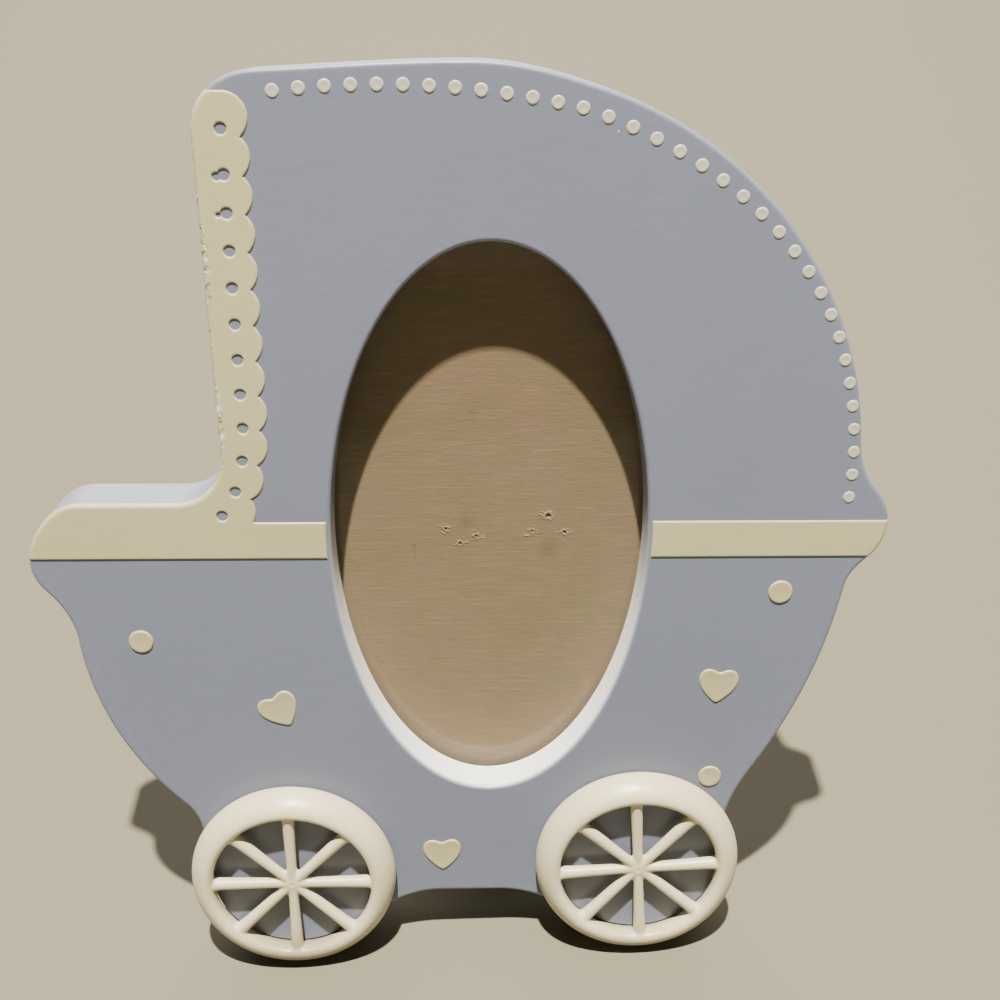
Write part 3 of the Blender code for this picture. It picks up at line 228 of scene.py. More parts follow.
# Dots: large ones first, then the row round the hood, on a flat arc and then round the edge
DOT_DIP_REACH = 0.5
BIG_DOT_RADIUS = 2.6 * MM
BIG_DOT_PLACES = ((-67.5 * MM, 56.8 * MM), (65.8 * MM, 67.5 * MM))
WHEEL_DOT_GAP = 0.3 * MM
WHEEL_DOT_TURN = math.radians(53.2)
HOOD_DOT_COUNT = 34
HOOD_DOT_RADIUS = 1.25 * MM
HOOD_DOT_STAND = 0.55  # their share of a large dot's height
HOOD_DOT_PITCH = 4.62 * MM
HOOD_DOT_TURN_PITCH = 4.82 * MM
HOOD_DOT_START = 14.45 * MM
HOOD_DOT_CROWN_SHIFT = -15.5 * MM
HOOD_DOT_TURN_SHIFT = 17.8 * MM
HOOD_DOT_CROWN_INSET = 3.4 * MM
HOOD_DOT_CROWN_RADIUS = 167.0 * MM
HOOD_DOT_INSET = 4.5 * MM
HOOD_DOT_INSET_END = 1.6 * MM
HOOD_DOT_INSET_TURNS = (math.radians(22.0), math.radians(70.0))

# Wheels: the rim's crown leans in towards the hub, and the spokes narrow towards it
RIM_WIDTH = 4.7 * MM
RIM_DEPTH = 6.75 * MM
RIM_ROUND_DEPTH = 6.9 * MM
RIM_SKEW = 1.3 * MM
RIM_FLOOR_GAP = 0.19 * MM
SPOKE_COUNT = 8
SPOKE_RADIUS = 1.45 * MM
SPOKE_TAPER = 0.72
SPOKE_LENGTH = 19.0 * MM
SPOKE_HEIGHT = 4.5 * MM
SPOKE_FLARE = 0.35 * MM
SPOKE_FLARE_REACH = 1.2 * MM
HUB_RADIUS = 1.5 * MM
HUB_DIP = 0.45 * MM
HUB_DIP_RADIUS = 0.7 * MM
LEFT_SPOKE_TURN = math.radians(0.5)
RIGHT_SPOKE_TURN = math.radians(3.8)

# Low round bosses of the casting behind the spokes
BOSS_HEIGHT = 2.2 * MM
BOSS_RADIUS = 18.6 * MM

# Board's front, in mm: pits of the rivets' prongs and smudges, as x, z and radius
PRONG_PITS = ((-3.9, 78.0, 0.26), (2.5, 76.3, 0.26), (-0.9, 74.6, 0.26),
              (17.7, 80.9, 0.40), (14.3, 77.4, 0.22), (21.3, 77.1, 0.32))
SMUDGES = ((0.3, 79.5, 1.5), (17.8, 73.4, 1.8))

# Pits' depth and lip, the lip's place and width as shares of the radius, and how uneven they are
PIT_DEPTH = 0.45 * MM
PIT_LIP = 0.08 * MM
PIT_LIP_PLACE = 1.9
PIT_LIP_WIDTH = 0.7
PIT_LOBES = 3
PIT_UNEVENNESS = 0.25

# Raised fibres round the pits: nearest place as a share of the pit's radius, farthest place in
# mm, how much closer they lie up and down than across, and their turn either way
SPLINTER_START = 1.5
SPLINTER_REACH = 1.9
SPLINTER_SQUEEZE = 0.7
SPLINTER_TURN = 0.7

# Their least and most half length, half width and height, in mm
SPLINTER_LENGTHS = (0.25, 0.7)
SPLINTER_WIDTHS = (0.07, 0.12)
SPLINTER_HEIGHTS = (0.05, 0.16)
SEED = 7

# Upright nick left of the pits
NICK_X = -10.75 * MM
NICK_SPAN = (70.5 * MM, 74.0 * MM)
NICK_DEPTH = 0.12 * MM
NICK_WIDTH = 0.16 * MM

# Fields of fine points round the marks, as low and high corners in mm, and coarse ones elsewhere
MARK_FIELDS = (((-6.2, 72.4), (4.8, 81.4)), ((12.0, 71.4), (23.6, 83.0)),
               ((-11.2, 70.0), (-10.2, 74.5)))
MARK_STEP = 0.13 * MM
BOARD_STEP = 5.0 * MM
BOARD_MARGIN = 2.0 * MM
BOARD_CORNER = 3.0 * MM

# Coats of paint, by their place in the casting's list of materials
BODY_COAT, TRIM_COAT, DOT_COAT = range(3)
COAT_CHIPS = (0.5, 0.9, 0.0)  # how strongly chips show in each coat

# Share of the relief's height above which a place is cream
COAT_START = 0.01

# Rubbed paint: how far in from the slab's edge it reaches, how far round the collar's edge
# counts as collar, and how strong it is there, where the collar is gripped, and elsewhere
WEAR_REACH = 3.2 * MM
COLLAR_MARGIN = 2.0 * MM
COLLAR_WEAR = 0.6
GRIP_WEAR = 0.4
EDGE_WEAR = 0.3

# Heights on the collar's edge where the paint is chipped most, each with its reach
GRIPS = ((134.0 * MM, 13.0 * MM), (104.0 * MM, 7.0 * MM))

# Painted highlight, a lightening of the paint towards white: most on the window's wall, from a
# little above the window's middle down, and least on the slab's sides
WALL_HIGHLIGHT_SHARE = 0.9
WALL_HIGHLIGHT_RISE = 8.0 * MM
WALL_HIGHLIGHT_FADE = 26.0 * MM
SIDE_HIGHLIGHT_SHARE = 0.12

# How far up the slab the painted shade of its lower part fades out, and how far up the rims their
# painted shade reaches
PAINTED_SHADE_FADE = 60.0 * MM
RIM_SHADE_HEIGHT = 13.0 * MM

# How finely curves are cut: longest step along a line, and largest turn between two steps
FINE_STEP = 1.2 * MM
FINE_TURN = math.radians(5.0)
TRIM_STEP = 0.6 * MM
SHARP_ANGLE = math.radians(38.0)

# How far a guard line lies from the shoulder or edge that it guards, and how far from a
# region distances to it are still worked out
GUARD = 0.35 * MM
NEAR = 2.0 * MM

# Steps of a rounded edge and of a relief's shoulder, as shares of its width
EDGE_STEPS = 8
SHOULDER_STEPS = (0.0, 0.1, 0.25, 0.45, 0.7, 1.0)
SHOULDER_POWER = 2.5

# Points handled at once, the least squared length that counts, and the gap at which points merge
BLOCK = 2048
TINY = 1e-18
WELD = 1e-6

# Points round each kind of circle, and the lines inside a dot and a heart
EYELET_POINTS = 24
DOT_POINTS = 28
DOT_CORE_POINTS = 20
BOSS_POINTS = 96
SCREW_HOLE_POINTS = 24
HEART_POINTS = 96
CORNER_STEPS = 8
DOT_LINES = (0.55, 0.3)
HEART_LINES = (1.0 * MM, 1.6 * MM)
RIM_POINTS = 180
RIM_SECTION_POINTS = 32
SPOKE_SIDES = 20
SPOKE_STEPS = 24

# Camera in the slab's axes, with the lens of a 36 mm wide frame
CAMERA_PLACE = (0.671 * MM, -224.114 * MM, 176.574 * MM)
CAMERA_TURN = (math.radians(68.504), math.radians(-0.388), math.radians(-1.517))
CAMERA_LENS = 43.2

# Lights: name, place, size, power and colour; then what they look at, the sky and the floor
LIGHTS = (
    ("key", (-0.01, -0.37, 3.0), 0.07, 425.0, (1.0, 0.95, 0.86)),
    ("fill", (0.0, -1.6, 1.0), 1.6, 1.0, (1.0, 1.0, 1.0)),
    ("rear", (0.0, 1.5, 1.1), 1.8, 45.0, (1.0, 0.97, 0.92)),
)
LIGHT_AIM = Vector((0.0, 0.0, 0.08))
SKY_COLOUR = (1.0, 0.97, 0.92, 1.0)
SKY_STRENGTH = 0.10
FLOOR_REACH = 2.0
FLOOR_CLOUD = 0.3


class FrameSizes(bpy.types.PropertyGroup):
    """Sizes of the finish that can be changed without touching the CAD model."""

    front_rounding: FloatProperty(
        name="Front rounding", description="Radius of the slab's front edge",
        default=0.9 * MM, min=0.5 * MM, max=4.0 * MM, unit="LENGTH")
    lip_rounding: FloatProperty(
        name="Lip rounding", description="Radius of the window's front edge",
        default=0.9 * MM, min=0.5 * MM, max=4.0 * MM, unit="LENGTH")
    shoulder: FloatProperty(
        name="Relief shoulder", description="Width of the sloping side of the raised trim",
        default=0.35 * MM, min=0.1 * MM, max=1.0 * MM, unit="LENGTH")
    dot_dip: FloatProperty(
        name="Dot dip", description="Share of a dot's height that its middle sinks",
        default=0.3, min=0.0, max=0.8, subtype="FACTOR")
    heart_dip: FloatProperty(
        name="Heart dip", description="Share of a heart's height that its middle sinks",
        default=0.2, min=0.0, max=0.8, subtype="FACTOR")
    wheel_grain: FloatProperty(
        name="Wheel grain", description="Size of the cells that melt spokes and rim together",
        default=0.32 * MM, min=0.2 * MM, max=1.0 * MM, unit="LENGTH")
    wheel_easing: IntProperty(
        name="Wheel easing", description="Smoothing passes over a wheel's joints",
        default=6, min=0, max=30)
    splinters: IntProperty(
        name="Splinters", description="Raised fibres round each prong mark of the board",
        default=9, min=0, max=30)


class FrameColours(bpy.types.PropertyGroup):
    """Colours of the paints, sheets and metals."""

    body: FloatVectorProperty(
        name="Body paint", description="Pale blue of the casting",
        default=(0.155, 0.170, 0.226), size=3, min=0.0, max=1.0, subtype="COLOR")
    # Painted shade: the body paint darkens towards this colour lower on the slab, where less light
    # falls
    shade: FloatVectorProperty(
        name="Lower paint", description="Duller blue that the paint drifts to lower down",
        default=(0.05, 0.075, 0.09), size=3, min=0.0, max=1.0, subtype="COLOR")
    body_worn: FloatVectorProperty(
        name="Worn body paint", description="Lighter blue where the paint is thin on edges",
        default=(0.40, 0.41, 0.46), size=3, min=0.0, max=1.0, subtype="COLOR")
    trim: FloatVectorProperty(
        name="Trim paint", description="Cream of the collar, band, hearts and dots",
        default=(0.455, 0.41, 0.215), size=3, min=0.0, max=1.0, subtype="COLOR")
    dots: FloatVectorProperty(
        name="Dot paint", description="Off-white of the small dots round the hood",
        default=(0.47, 0.45, 0.34), size=3, min=0.0, max=1.0, subtype="COLOR")
    chip: FloatVectorProperty(
        name="Chip", description="Dark base that shows where paint has chipped",
        default=(0.10, 0.08, 0.06), size=3, min=0.0, max=1.0, subtype="COLOR")
    # Also the white that the painted highlight on the window's lower wall and the slab's sides
    # lightens the paint towards
    primer_and_highlight: FloatVectorProperty(
        name="Primer", description="White coat that shows where paint has rubbed through",
        default=(0.88, 0.87, 0.84), size=3, min=0.0, max=1.0, subtype="COLOR")
    wheel: FloatVectorProperty(
        name="Wheel paint", description="Ivory of the wheels",
        default=(0.60, 0.53, 0.34), size=3, min=0.0, max=1.0, subtype="COLOR")
    # Painted shade: the rims darken towards this colour low down, where less light reaches them
    rim_shade: FloatVectorProperty(
        name="Rim shade", description="Duller ivory low on the rims",
        default=(0.17, 0.14, 0.085), size=3, min=0.0, max=1.0, subtype="COLOR")
    board: FloatVectorProperty(
        name="Hardboard", description="Tan of the backboard",
        default=(0.205, 0.136, 0.075), size=3, min=0.0, max=1.0, subtype="COLOR")
    board_green: FloatVectorProperty(
        name="Olive hardboard", description="Greener patches of the backboard",
        default=(0.17, 0.135, 0.065), size=3, min=0.0, max=1.0, subtype="COLOR")
    # Also the colour, much darkened, of the painted shade in the prong pits
    dark_fibre_and_pit_shade: FloatVectorProperty(
        name="Dark fibre", description="Darker fibres in the hardboard",
        default=(0.11, 0.075, 0.04), size=3, min=0.0, max=1.0, subtype="COLOR")
    velour: FloatVectorProperty(
        name="Velour", description="Black of the backing and the strut",
        default=(0.016, 0.016, 0.019), size=3, min=0.0, max=1.0, subtype="COLOR")
    steel: FloatVectorProperty(
        name="Plated steel", description="Hinge, pin and rivets",
        default=(0.62, 0.61, 0.58), size=3, min=0.0, max=1.0, subtype="COLOR")
    brass: FloatVectorProperty(
        name="Brassed steel", description="Turn buttons and their screws",
        default=(0.70, 0.52, 0.26), size=3, min=0.0, max=1.0, subtype="COLOR")
    floor: FloatVectorProperty(
        name="Floor", description="Pale studio floor",
        default=(0.144, 0.128, 0.082), size=3, min=0.0, max=1.0, subtype="COLOR")


class Field:
    """A socket inside a material; arithmetic on it adds Math nodes."""

    def __init__(self, recipe, socket):
        self.recipe = recipe
        self.socket = socket

    def math(self, operation, *terms):
        """A Math node with this field and the given terms."""
        return self.recipe.node("ShaderNodeMath", {"operation": operation},
                                dict(enumerate(terms)))

    def __add__(self, other):
        return self.math("ADD", self, other)

    def __radd__(self, other):
        return self.math("ADD", other, self)

    def __sub__(self, other):
        return self.math("SUBTRACT", self, other)

    def __rsub__(self, other):
        return self.math("SUBTRACT", other, self)

    def __mul__(self, other):
        return self.math("MULTIPLY", self, other)

    def __rmul__(self, other):
        return self.math("MULTIPLY", other, self)

    def between(self, low, high):
        """A soft step that climbs from 0 at low to 1 at high."""
        return self.recipe.node(
            "ShaderNodeMapRange", {"interpolation_type": "SMOOTHSTEP"},
            {"Value": self, "From Min": low, "From Max": high})


class Recipe:
    """A material being mixed on one Principled shader."""

    MIX_SHARE, MIX_FIRST, MIX_SECOND, MIX_COLOUR = 0, 6, 7, 2

    def __init__(self, name):
        self.material = bpy.data.materials.new(name)
        self.material.use_nodes = True
        self.tree = self.material.node_tree
        self.shader = self.tree.nodes["Principled BSDF"]
        world = self.node("ShaderNodeTexCoord", output="Object")
        self.place = self.node("ShaderNodeMapping", {}, {
            "Vector": world, "Location": TO_SLAB.translation, "Rotation": TO_SLAB.to_euler()})

    def node(self, kind, settings=None, sockets=None, output=0):
        """Add a node: its settings come first, then its sockets' values or links."""
        made = self.tree.nodes.new(kind)
        for name, value in (settings or {}).items():
            setattr(made, name, value)
        for name, value in (sockets or {}).items():
            self.feed(made.inputs[name], value)
        return Field(self, made.outputs[output])

    def feed(self, socket, value):
        """Link a field to a socket, or set the socket's own value."""
        if isinstance(value, Field):
            self.tree.links.new(value.socket, socket)
        else:
            socket.default_value = value

    def noise(self, size, detail=2.0, roughness=0.5, stretch=(1.0, 1.0, 1.0)):
        """Cloudy noise whose features are about this size, longer where stretch is above 1."""
        place = self.place
        if stretch != (1.0, 1.0, 1.0):
            squeeze = [1.0 / amount for amount in stretch]
            place = self.node("ShaderNodeVectorMath", {"operation": "MULTIPLY"},
                              {0: place, 1: squeeze})
        return self.node("ShaderNodeTexNoise", {}, {
            "Vector": place, "Scale": 1.0 / size, "Detail": detail, "Roughness": roughness})

    def spots(self, spacing, size, share):
        """Round specks of about this size, on this share of the cells of the given spacing."""
        cells = self.tree.nodes.new("ShaderNodeTexVoronoi")
        self.feed(cells.inputs["Vector"], self.place)
        self.feed(cells.inputs["Scale"], 1.0 / spacing)
        reach = size / 2.0 / spacing
        disc = 1.0 - Field(self, cells.outputs["Distance"]).between(0.6 * reach, reach)
        drawn = self.node("ShaderNodeSeparateColor", {}, {0: Field(self, cells.outputs["Color"])})
        return disc * drawn.math("LESS_THAN", drawn, share)

    def mix(self, share, first, second):
        """A colour between two, with this share of the second."""
        return self.node("ShaderNodeMix", {"data_type": "RGBA"}, {
            self.MIX_SHARE: share, self.MIX_FIRST: first, self.MIX_SECOND: second},
            output=self.MIX_COLOUR)

    def stored(self, name):
        """A value that the mesh stores at each point."""
        return self.node("ShaderNodeAttribute", {"attribute_name": name}, output="Fac")

    def below(self, low, high):
        """1 lower on the slab than one height, and 0 above the other."""
        height = self.node("ShaderNodeSeparateXYZ", {}, {0: self.place}, output="Z")
        return 1.0 - height.between(low, high)

    def finish(self, colour, roughness, height=None, depth=0.05 * MM, **constants):
        """Feed the shader, with bump of the given depth, and return the material."""
        self.feed(self.shader.inputs["Base Color"], colour)
        self.feed(self.shader.inputs["Roughness"], roughness)
        if height is not None:
            bump = self.node("ShaderNodeBump", {}, {"Height": height, "Distance": depth},
                             output="Normal")
            self.feed(self.shader.inputs["Normal"], bump)
        for name, value in constants.items():
            self.shader.inputs[name.replace("_", " ")].default_value = value
        return self.material


def opaque(colour, gain=1.0):
    """A colour with full alpha, brightened or darkened by a gain."""
    return (*[min(1.0, gain * channel) for channel in colour], 1.0)


def paint_material(name, colour, colours, chips):
    """Hand-brushed satin paint: faint brush marks, specks, wear where edges are rubbed, painted
    shade lower down, and a painted highlight on the window's lower wall and the slab's sides.
    """
    recipe = Recipe(name)
    worn = recipe.stored("wear")
    painted_highlight = recipe.stored("painted_highlight")
    drift = recipe.noise(30.0 * MM, detail=3.0)
    brush = recipe.noise(2.5 * MM, detail=4.0, stretch=(3.0, 1.0, 1.0))
    shade = recipe.mix(drift, opaque(colour, 0.94), opaque(colour, 1.05))
    shade = recipe.mix(brush * 0.25, shade, opaque(colour, 1.12))
    # Painted shade: the paint is darker towards the bottom of the slab
    low = recipe.below(LEDGE_TOP_Z - PAINTED_SHADE_FADE, LEDGE_TOP_Z + PAINTED_SHADE_FADE)
    shade = recipe.mix(low * 0.16, shade, opaque(colours.shade))
    # Painted highlight: the window's lower wall and the slab's sides are lightened towards white
    shade = recipe.mix(painted_highlight, shade, opaque(colours.primer_and_highlight))
    rubbed = worn * recipe.noise(1.6 * MM, detail=5.0, roughness=0.7).between(0.42, 0.68)
    shade = recipe.mix(rubbed * 0.35, shade, opaque(colours.body_worn))
    pale = recipe.spots(7.0 * MM, 0.5 * MM, 0.2)
    dark = recipe.spots(9.0 * MM, 0.32 * MM, 0.25)
    chipped = worn.between(0.45, 0.8)
    flake = chipped * recipe.noise(1.5 * MM, detail=3.0, roughness=0.65).between(0.56, 0.59)
    shade = recipe.mix(pale * 0.5, shade, opaque(colours.primer_and_highlight))
    shade = recipe.mix(dark * 0.7, shade, opaque(colours.chip))
    shade = recipe.mix(flake * chips, shade, opaque(colours.primer_and_highlight))
    bared = chipped * recipe.noise(1.1 * MM, detail=2.0, roughness=0.6).between(0.57, 0.60)
    shade = recipe.mix(bared * chips, shade, opaque(colours.chip))
    skin = recipe.noise(1.1 * MM, detail=2.0) * 0.5 + brush * 0.5 - flake * 0.8
    roughness = recipe.noise(6.0 * MM, detail=3.0) * 0.12 + 0.36
    return recipe.finish(shade, roughness, skin, 0.05 * MM)


def wheel_material(colours):
    """Ivory paint, a little thicker and glossier than the slab's, with painted shade low on the
    rims.
    """
    recipe = Recipe("ivory_wheel_paint")
    colour = colours.wheel
    drift = recipe.noise(9.0 * MM, detail=3.0)
    shade = recipe.mix(drift, opaque(colour, 0.95), opaque(colour, 1.04))
    # Painted shade: the rims are darker towards the bottom
    rim_shade = recipe.below(LEFT_WHEEL_LOW.z, LEFT_WHEEL_LOW.z + RIM_SHADE_HEIGHT)
    shade = recipe.mix(rim_shade, shade, opaque(colours.rim_shade))
    dark = recipe.spots(6.0 * MM, 0.3 * MM, 0.2)
    shade = recipe.mix(dark * 0.5, shade, opaque(colours.chip))
    skin = recipe.noise(1.4 * MM, detail=2.0)
    roughness = recipe.noise(5.0 * MM) * 0.1 + 0.32
    return recipe.finish(shade, roughness, skin, 0.05 * MM)


def board_material(colours):
    """Hardboard: fine level fibres, a mottled tint, pale raised fibres round the prong marks, and
    painted shade in the prong pits.
    """
    recipe = Recipe("tan_hardboard")
    lift = recipe.stored("lift")
    smudge = recipe.stored("smudge")
    tint = recipe.noise(22.0 * MM, detail=4.0, roughness=0.6).between(0.35, 0.7)
    fibre = recipe.noise(0.36 * MM, detail=3.0, roughness=0.65, stretch=(9.0, 1.0, 1.0))
    strand = recipe.noise(0.7 * MM, detail=2.0, stretch=(14.0, 1.0, 1.0))
    grit = recipe.noise(0.5 * MM, detail=3.0)
    shade = recipe.mix(tint * 0.8, opaque(colours.board), opaque(colours.board_green))
    shade = recipe.mix(fibre.between(0.5, 0.7) * 0.28, shade, opaque(colours.dark_fibre_and_pit_shade))
    shade = recipe.mix(strand.between(0.5, 0.75) * 0.3, shade, opaque(colours.board, 1.5))
    shade = recipe.mix(grit.between(0.58, 0.8) * 0.25, shade, opaque(colours.board, 1.5))
    shade = recipe.mix(smudge * 0.5, shade, opaque(colours.dark_fibre_and_pit_shade))
    shade = recipe.mix(lift.between(0.03, 0.12) * 0.55, shade, opaque(colours.board, 2.0))
    # Painted shade: the prong pits darken to near black below the board's face
    shade = recipe.mix((0.0 - lift).between(0.06, 0.25) * 0.9, shade,
                       opaque(colours.dark_fibre_and_pit_shade, 0.25))
    height = fibre * 0.6 + strand * 0.3 + grit * 0.1
    return recipe.finish(shade, 0.78, height, 0.09 * MM)


def velour_material(colours):
    """Black velour with short pile that catches light at a slant."""
    recipe = Recipe("black_velour")
    pile = recipe.noise(0.25 * MM, detail=2.0)
    nap = recipe.noise(14.0 * MM, detail=3.0)
    shade = recipe.mix(nap.between(0.35, 0.7), opaque(colours.velour, 0.8),
                       opaque(colours.velour, 2.2))
    lint = recipe.spots(11.0 * MM, 0.35 * MM, 0.3)
    shade = recipe.mix(lint * 0.5, shade, opaque((0.35, 0.34, 0.33)))
    return recipe.finish(shade, 0.95, pile + nap * 0.4, 0.15 * MM,
                         Sheen_Weight=0.35, Sheen_Roughness=0.4)


def metal_material(name, colour, roughness):
    """Stamped, plated sheet with fine drawing lines and dull patches."""
    recipe = Recipe(name)
    lines = recipe.noise(0.2 * MM, detail=2.0, stretch=(12.0, 1.0, 1.0))
    patch = recipe.noise(3.0 * MM, detail=4.0)
    shade = recipe.mix(patch.between(0.4, 0.8), opaque(colour), opaque(colour, 0.72))
    recipe.feed(recipe.shader.inputs["Metallic"], 1.0)
    return recipe.finish(shade, patch * 0.2 + roughness, lines, 0.01 * MM)


def pane_material():
    """Clear sheet: mirror-like at a slant and see-through face on, with faint dust."""
    recipe = Recipe("clear_pane")
    tree = recipe.tree
    tree.nodes.remove(recipe.shader)
    behind = recipe.node("ShaderNodeNewGeometry", output="Backfacing")
    gloss = recipe.node("ShaderNodeFresnel", {}, {"IOR": 1.45}) * (1.0 - behind)
    dust = recipe.noise(2.0 * MM, detail=5.0, roughness=0.8).between(0.62, 0.8) * 0.02
    clear = recipe.node("ShaderNodeBsdfTransparent", {}, {"Color": (0.97, 0.98, 0.98, 1.0)})
    mirror = recipe.node("ShaderNodeBsdfGlossy", {}, {"Roughness": 0.04})
    both = recipe.node("ShaderNodeMixShader", {}, {0: gloss + dust, 1: clear, 2: mirror})
    tree.links.new(both.socket, tree.nodes["Material Output"].inputs["Surface"])
    return recipe.material


def wrapped(angle):
    """The angle brought between minus half a turn and half a turn."""
    return math.remainder(angle, 2.0 * math.pi)


def on_circle(centre_x, centre_z, radius, angle):
    """A station on a circle that is followed clockwise, as x, z and heading."""
    return (centre_x + radius * math.cos(angle), centre_z + radius * math.sin(angle), angle - UP)


def smooth_loop(stations):
    """A closed loop through stations of x, z and heading, as a list of (x, z)."""
    points = []
    for (x0, z0, heading0), (x1, z1, heading1) in zip(stations, stations[1:] + stations[:1]):
        start = Vector((x0, z0))
        end = Vector((x1, z1))
        chord = (end - start).length
        bearing = math.atan2(z1 - z0, x1 - x0)
        swing = abs(wrapped(bearing - heading0)) + abs(wrapped(heading1 - bearing))
        reach = chord / (3.0 * math.cos(wrapped(heading1 - heading0) / 4.0) ** 2)
        steps = math.ceil(max(swing / FINE_TURN, chord / FINE_STEP, 1.0))
        leave = Vector((math.cos(heading0), math.sin(heading0))) * reach
        arrive = Vector((math.cos(heading1), math.sin(heading1))) * reach
        curve = interpolate_bezier(start, start + leave, end - arrive, end, steps + 1)
        points += [(point.x, point.y) for point in curve[:-1]]
    return points


def flank_centre(side_x, drop, radius, start):
    """Centre of a flank's arc, whose upper end meets the given side of the slab."""
    return (side_x - radius, LEDGE_TOP_Z - drop + radius * math.sin(start))


def lobe(wheel, arc):
    """Stations round the slab's lobe behind a wheel, at the ends and middle of its arc."""
    start, end = arc
    return [on_circle(wheel.x, wheel.y, LOBE_RADIUS, angle)
            for angle in (start, (start + end) / 2.0, end)]


def slab_outline():
    """The pram's outline, clockwise from the handle tip, as a list of (x, z)."""
    handle = [
        (HANDLE_TIP_X, LEDGE_TOP_Z - HANDLE_TIP_DROP, HANDLE_TIP_HEADING),
        (HANDLE_TIP_X + HANDLE_SHOULDER_RUN, LEDGE_TOP_Z - HANDLE_SHOULDER_DROP,
         HANDLE_SHOULDER_HEADING),
        (HANDLE_TIP_X + HANDLE_TOP_RUN, LEDGE_TOP_Z, 0.0),
    ]
    foot_z = LEDGE_TOP_Z + LEDGE_FILLET
    head_z = HOOD_TOP_Z - HOOD_CORNER_RADIUS
    head_x = COLLAR_EDGE_X - (head_z - foot_z) * math.tan(COLLAR_SPREAD)
    collar = [
        (COLLAR_EDGE_X - LEDGE_FILLET, LEDGE_TOP_Z, 0.0),
        (COLLAR_EDGE_X, foot_z, UP + COLLAR_SPREAD),
        (head_x, head_z, UP + COLLAR_SPREAD),
        (head_x + HOOD_CORNER_RADIUS, HOOD_TOP_Z - HOOD_CORNER_DROP, HOOD_CORNER_HEADING),
    ]
    neck = math.asin((LEDGE_TOP_Z + NECK_RISE - HOOD_CENTRE.y) / HOOD_RADIUS)
    hood = [(HOOD_CENTRE.x, HOOD_TOP_Z + HOOD_CROWN_RISE, 0.0)]
    hood += [on_circle(HOOD_CENTRE.x, HOOD_CENTRE.y, HOOD_RADIUS, angle)
             for angle in (UP - HOOD_SHOULDER_TURN, (UP + neck) / 2.0, neck)]
    nose = [
        (NOSE_TIP_X - NOSE_SHOULDER_RUN, LEDGE_TOP_Z + NOSE_SHOULDER_RISE, NOSE_SHOULDER_HEADING),
        (NOSE_TIP_X, LEDGE_TOP_Z - NOSE_TIP_DROP, -UP),
        (NOSE_TIP_X - NOSE_CHIN_RUN, LEDGE_TOP_Z - NOSE_CHIN_DROP, NOSE_CHIN_HEADING),
    ]
    first_turn = RIGHT_FLANK_ARC[0]
    right_side = NECK_X - RIGHT_FLANK_INSET + RIGHT_FLANK_RADIUS * (1.0 - math.cos(first_turn))
    right_centre = flank_centre(right_side, RIGHT_FLANK_DROP, RIGHT_FLANK_RADIUS, first_turn)
    right_flank = [on_circle(*right_centre, RIGHT_FLANK_RADIUS, -angle)
                   for angle in RIGHT_FLANK_ARC]
    arch = [
        (ARCH_SHIFT + ARCH_FLAT / 2.0, ARCH_TOP_Z, math.pi),
        (ARCH_SHIFT - ARCH_FLAT / 2.0, ARCH_TOP_Z, math.pi),
    ]
    left_centre = flank_centre(LEFT_FLANK_X + 2.0 * LEFT_FLANK_RADIUS, LEFT_FLANK_DROP,
                               LEFT_FLANK_RADIUS, LEFT_FLANK_ARC[0])
    left_flank = [on_circle(*left_centre, LEFT_FLANK_RADIUS, math.pi + angle)
                  for angle in reversed(LEFT_FLANK_ARC)]
    chin = [(HANDLE_TIP_X + HANDLE_CHIN_RUN, LEDGE_TOP_Z - HANDLE_CHIN_DROP, HANDLE_CHIN_HEADING)]
    return smooth_loop(handle + collar + hood + nose + right_flank
                       + lobe(RIGHT_WHEEL, RIGHT_LOBE_ARC) + arch
                       + lobe(LEFT_WHEEL, LEFT_LOBE_ARC) + left_flank + chin)


def turns(count):
    """Angles that share out a full turn."""
    return [2.0 * math.pi * k / count for k in range(count)]


def ellipse(centre, half_width, half_height, count):
    """Points round an ellipse, anticlockwise."""
    return [(centre[0] + half_width * math.cos(t), centre[1] + half_height * math.sin(t))
            for t in turns(count)]


def circle(centre, radius, count):
    """Points round a circle, anticlockwise."""
    return ellipse(centre, radius, radius, count)


def window_oval():
    """The window's edge."""
    count = math.ceil(math.pi * (WINDOW_WIDTH + WINDOW_HEIGHT) / 2.0 / FINE_STEP)
    return ellipse(WINDOW_CENTRE, WINDOW_WIDTH / 2.0, WINDOW_HEIGHT / 2.0, count)


def window_share(x, z):
    """How far out from the window's middle a place lies, as a share of the way to its edge."""
    return np.hypot((x - WINDOW_CENTRE.x) / (WINDOW_WIDTH / 2.0),
                    (z - WINDOW_CENTRE.y) / (WINDOW_HEIGHT / 2.0))


def rounded_rectangle(centre, width, height, corner):
    """Points round a rectangle with rounded corners."""
    points = []
    for quarter in range(4):
        side_x = 1 if quarter in (0, 3) else -1
        side_z = 1 if quarter in (0, 1) else -1
        corner_x = centre[0] + side_x * (width / 2.0 - corner)
        corner_z = centre[1] + side_z * (height / 2.0 - corner)
        for step in range(CORNER_STEPS + 1):
            angle = (quarter + step / CORNER_STEPS) * UP
            points.append((corner_x + corner * math.cos(angle),
                           corner_z + corner * math.sin(angle)))
    return points


def moved_along_normals(points, distance):
    """A closed loop offset to its left as it is followed."""
    moved = []
    for index, (x, z) in enumerate(points):
        before = Vector(points[index - 1])
        after = Vector(points[(index + 1) % len(points)])
        here = Vector((x, z))
        first = (here - before).normalized()
        second = (after - here).normalized()
        bisector = Vector((-first.y - second.y, first.x + second.x)).normalized()
        stretch = distance / max(0.5, bisector.dot(Vector((-first.y, first.x))))
        moved.append((x + bisector.x * stretch, z + bisector.y * stretch))
    return moved


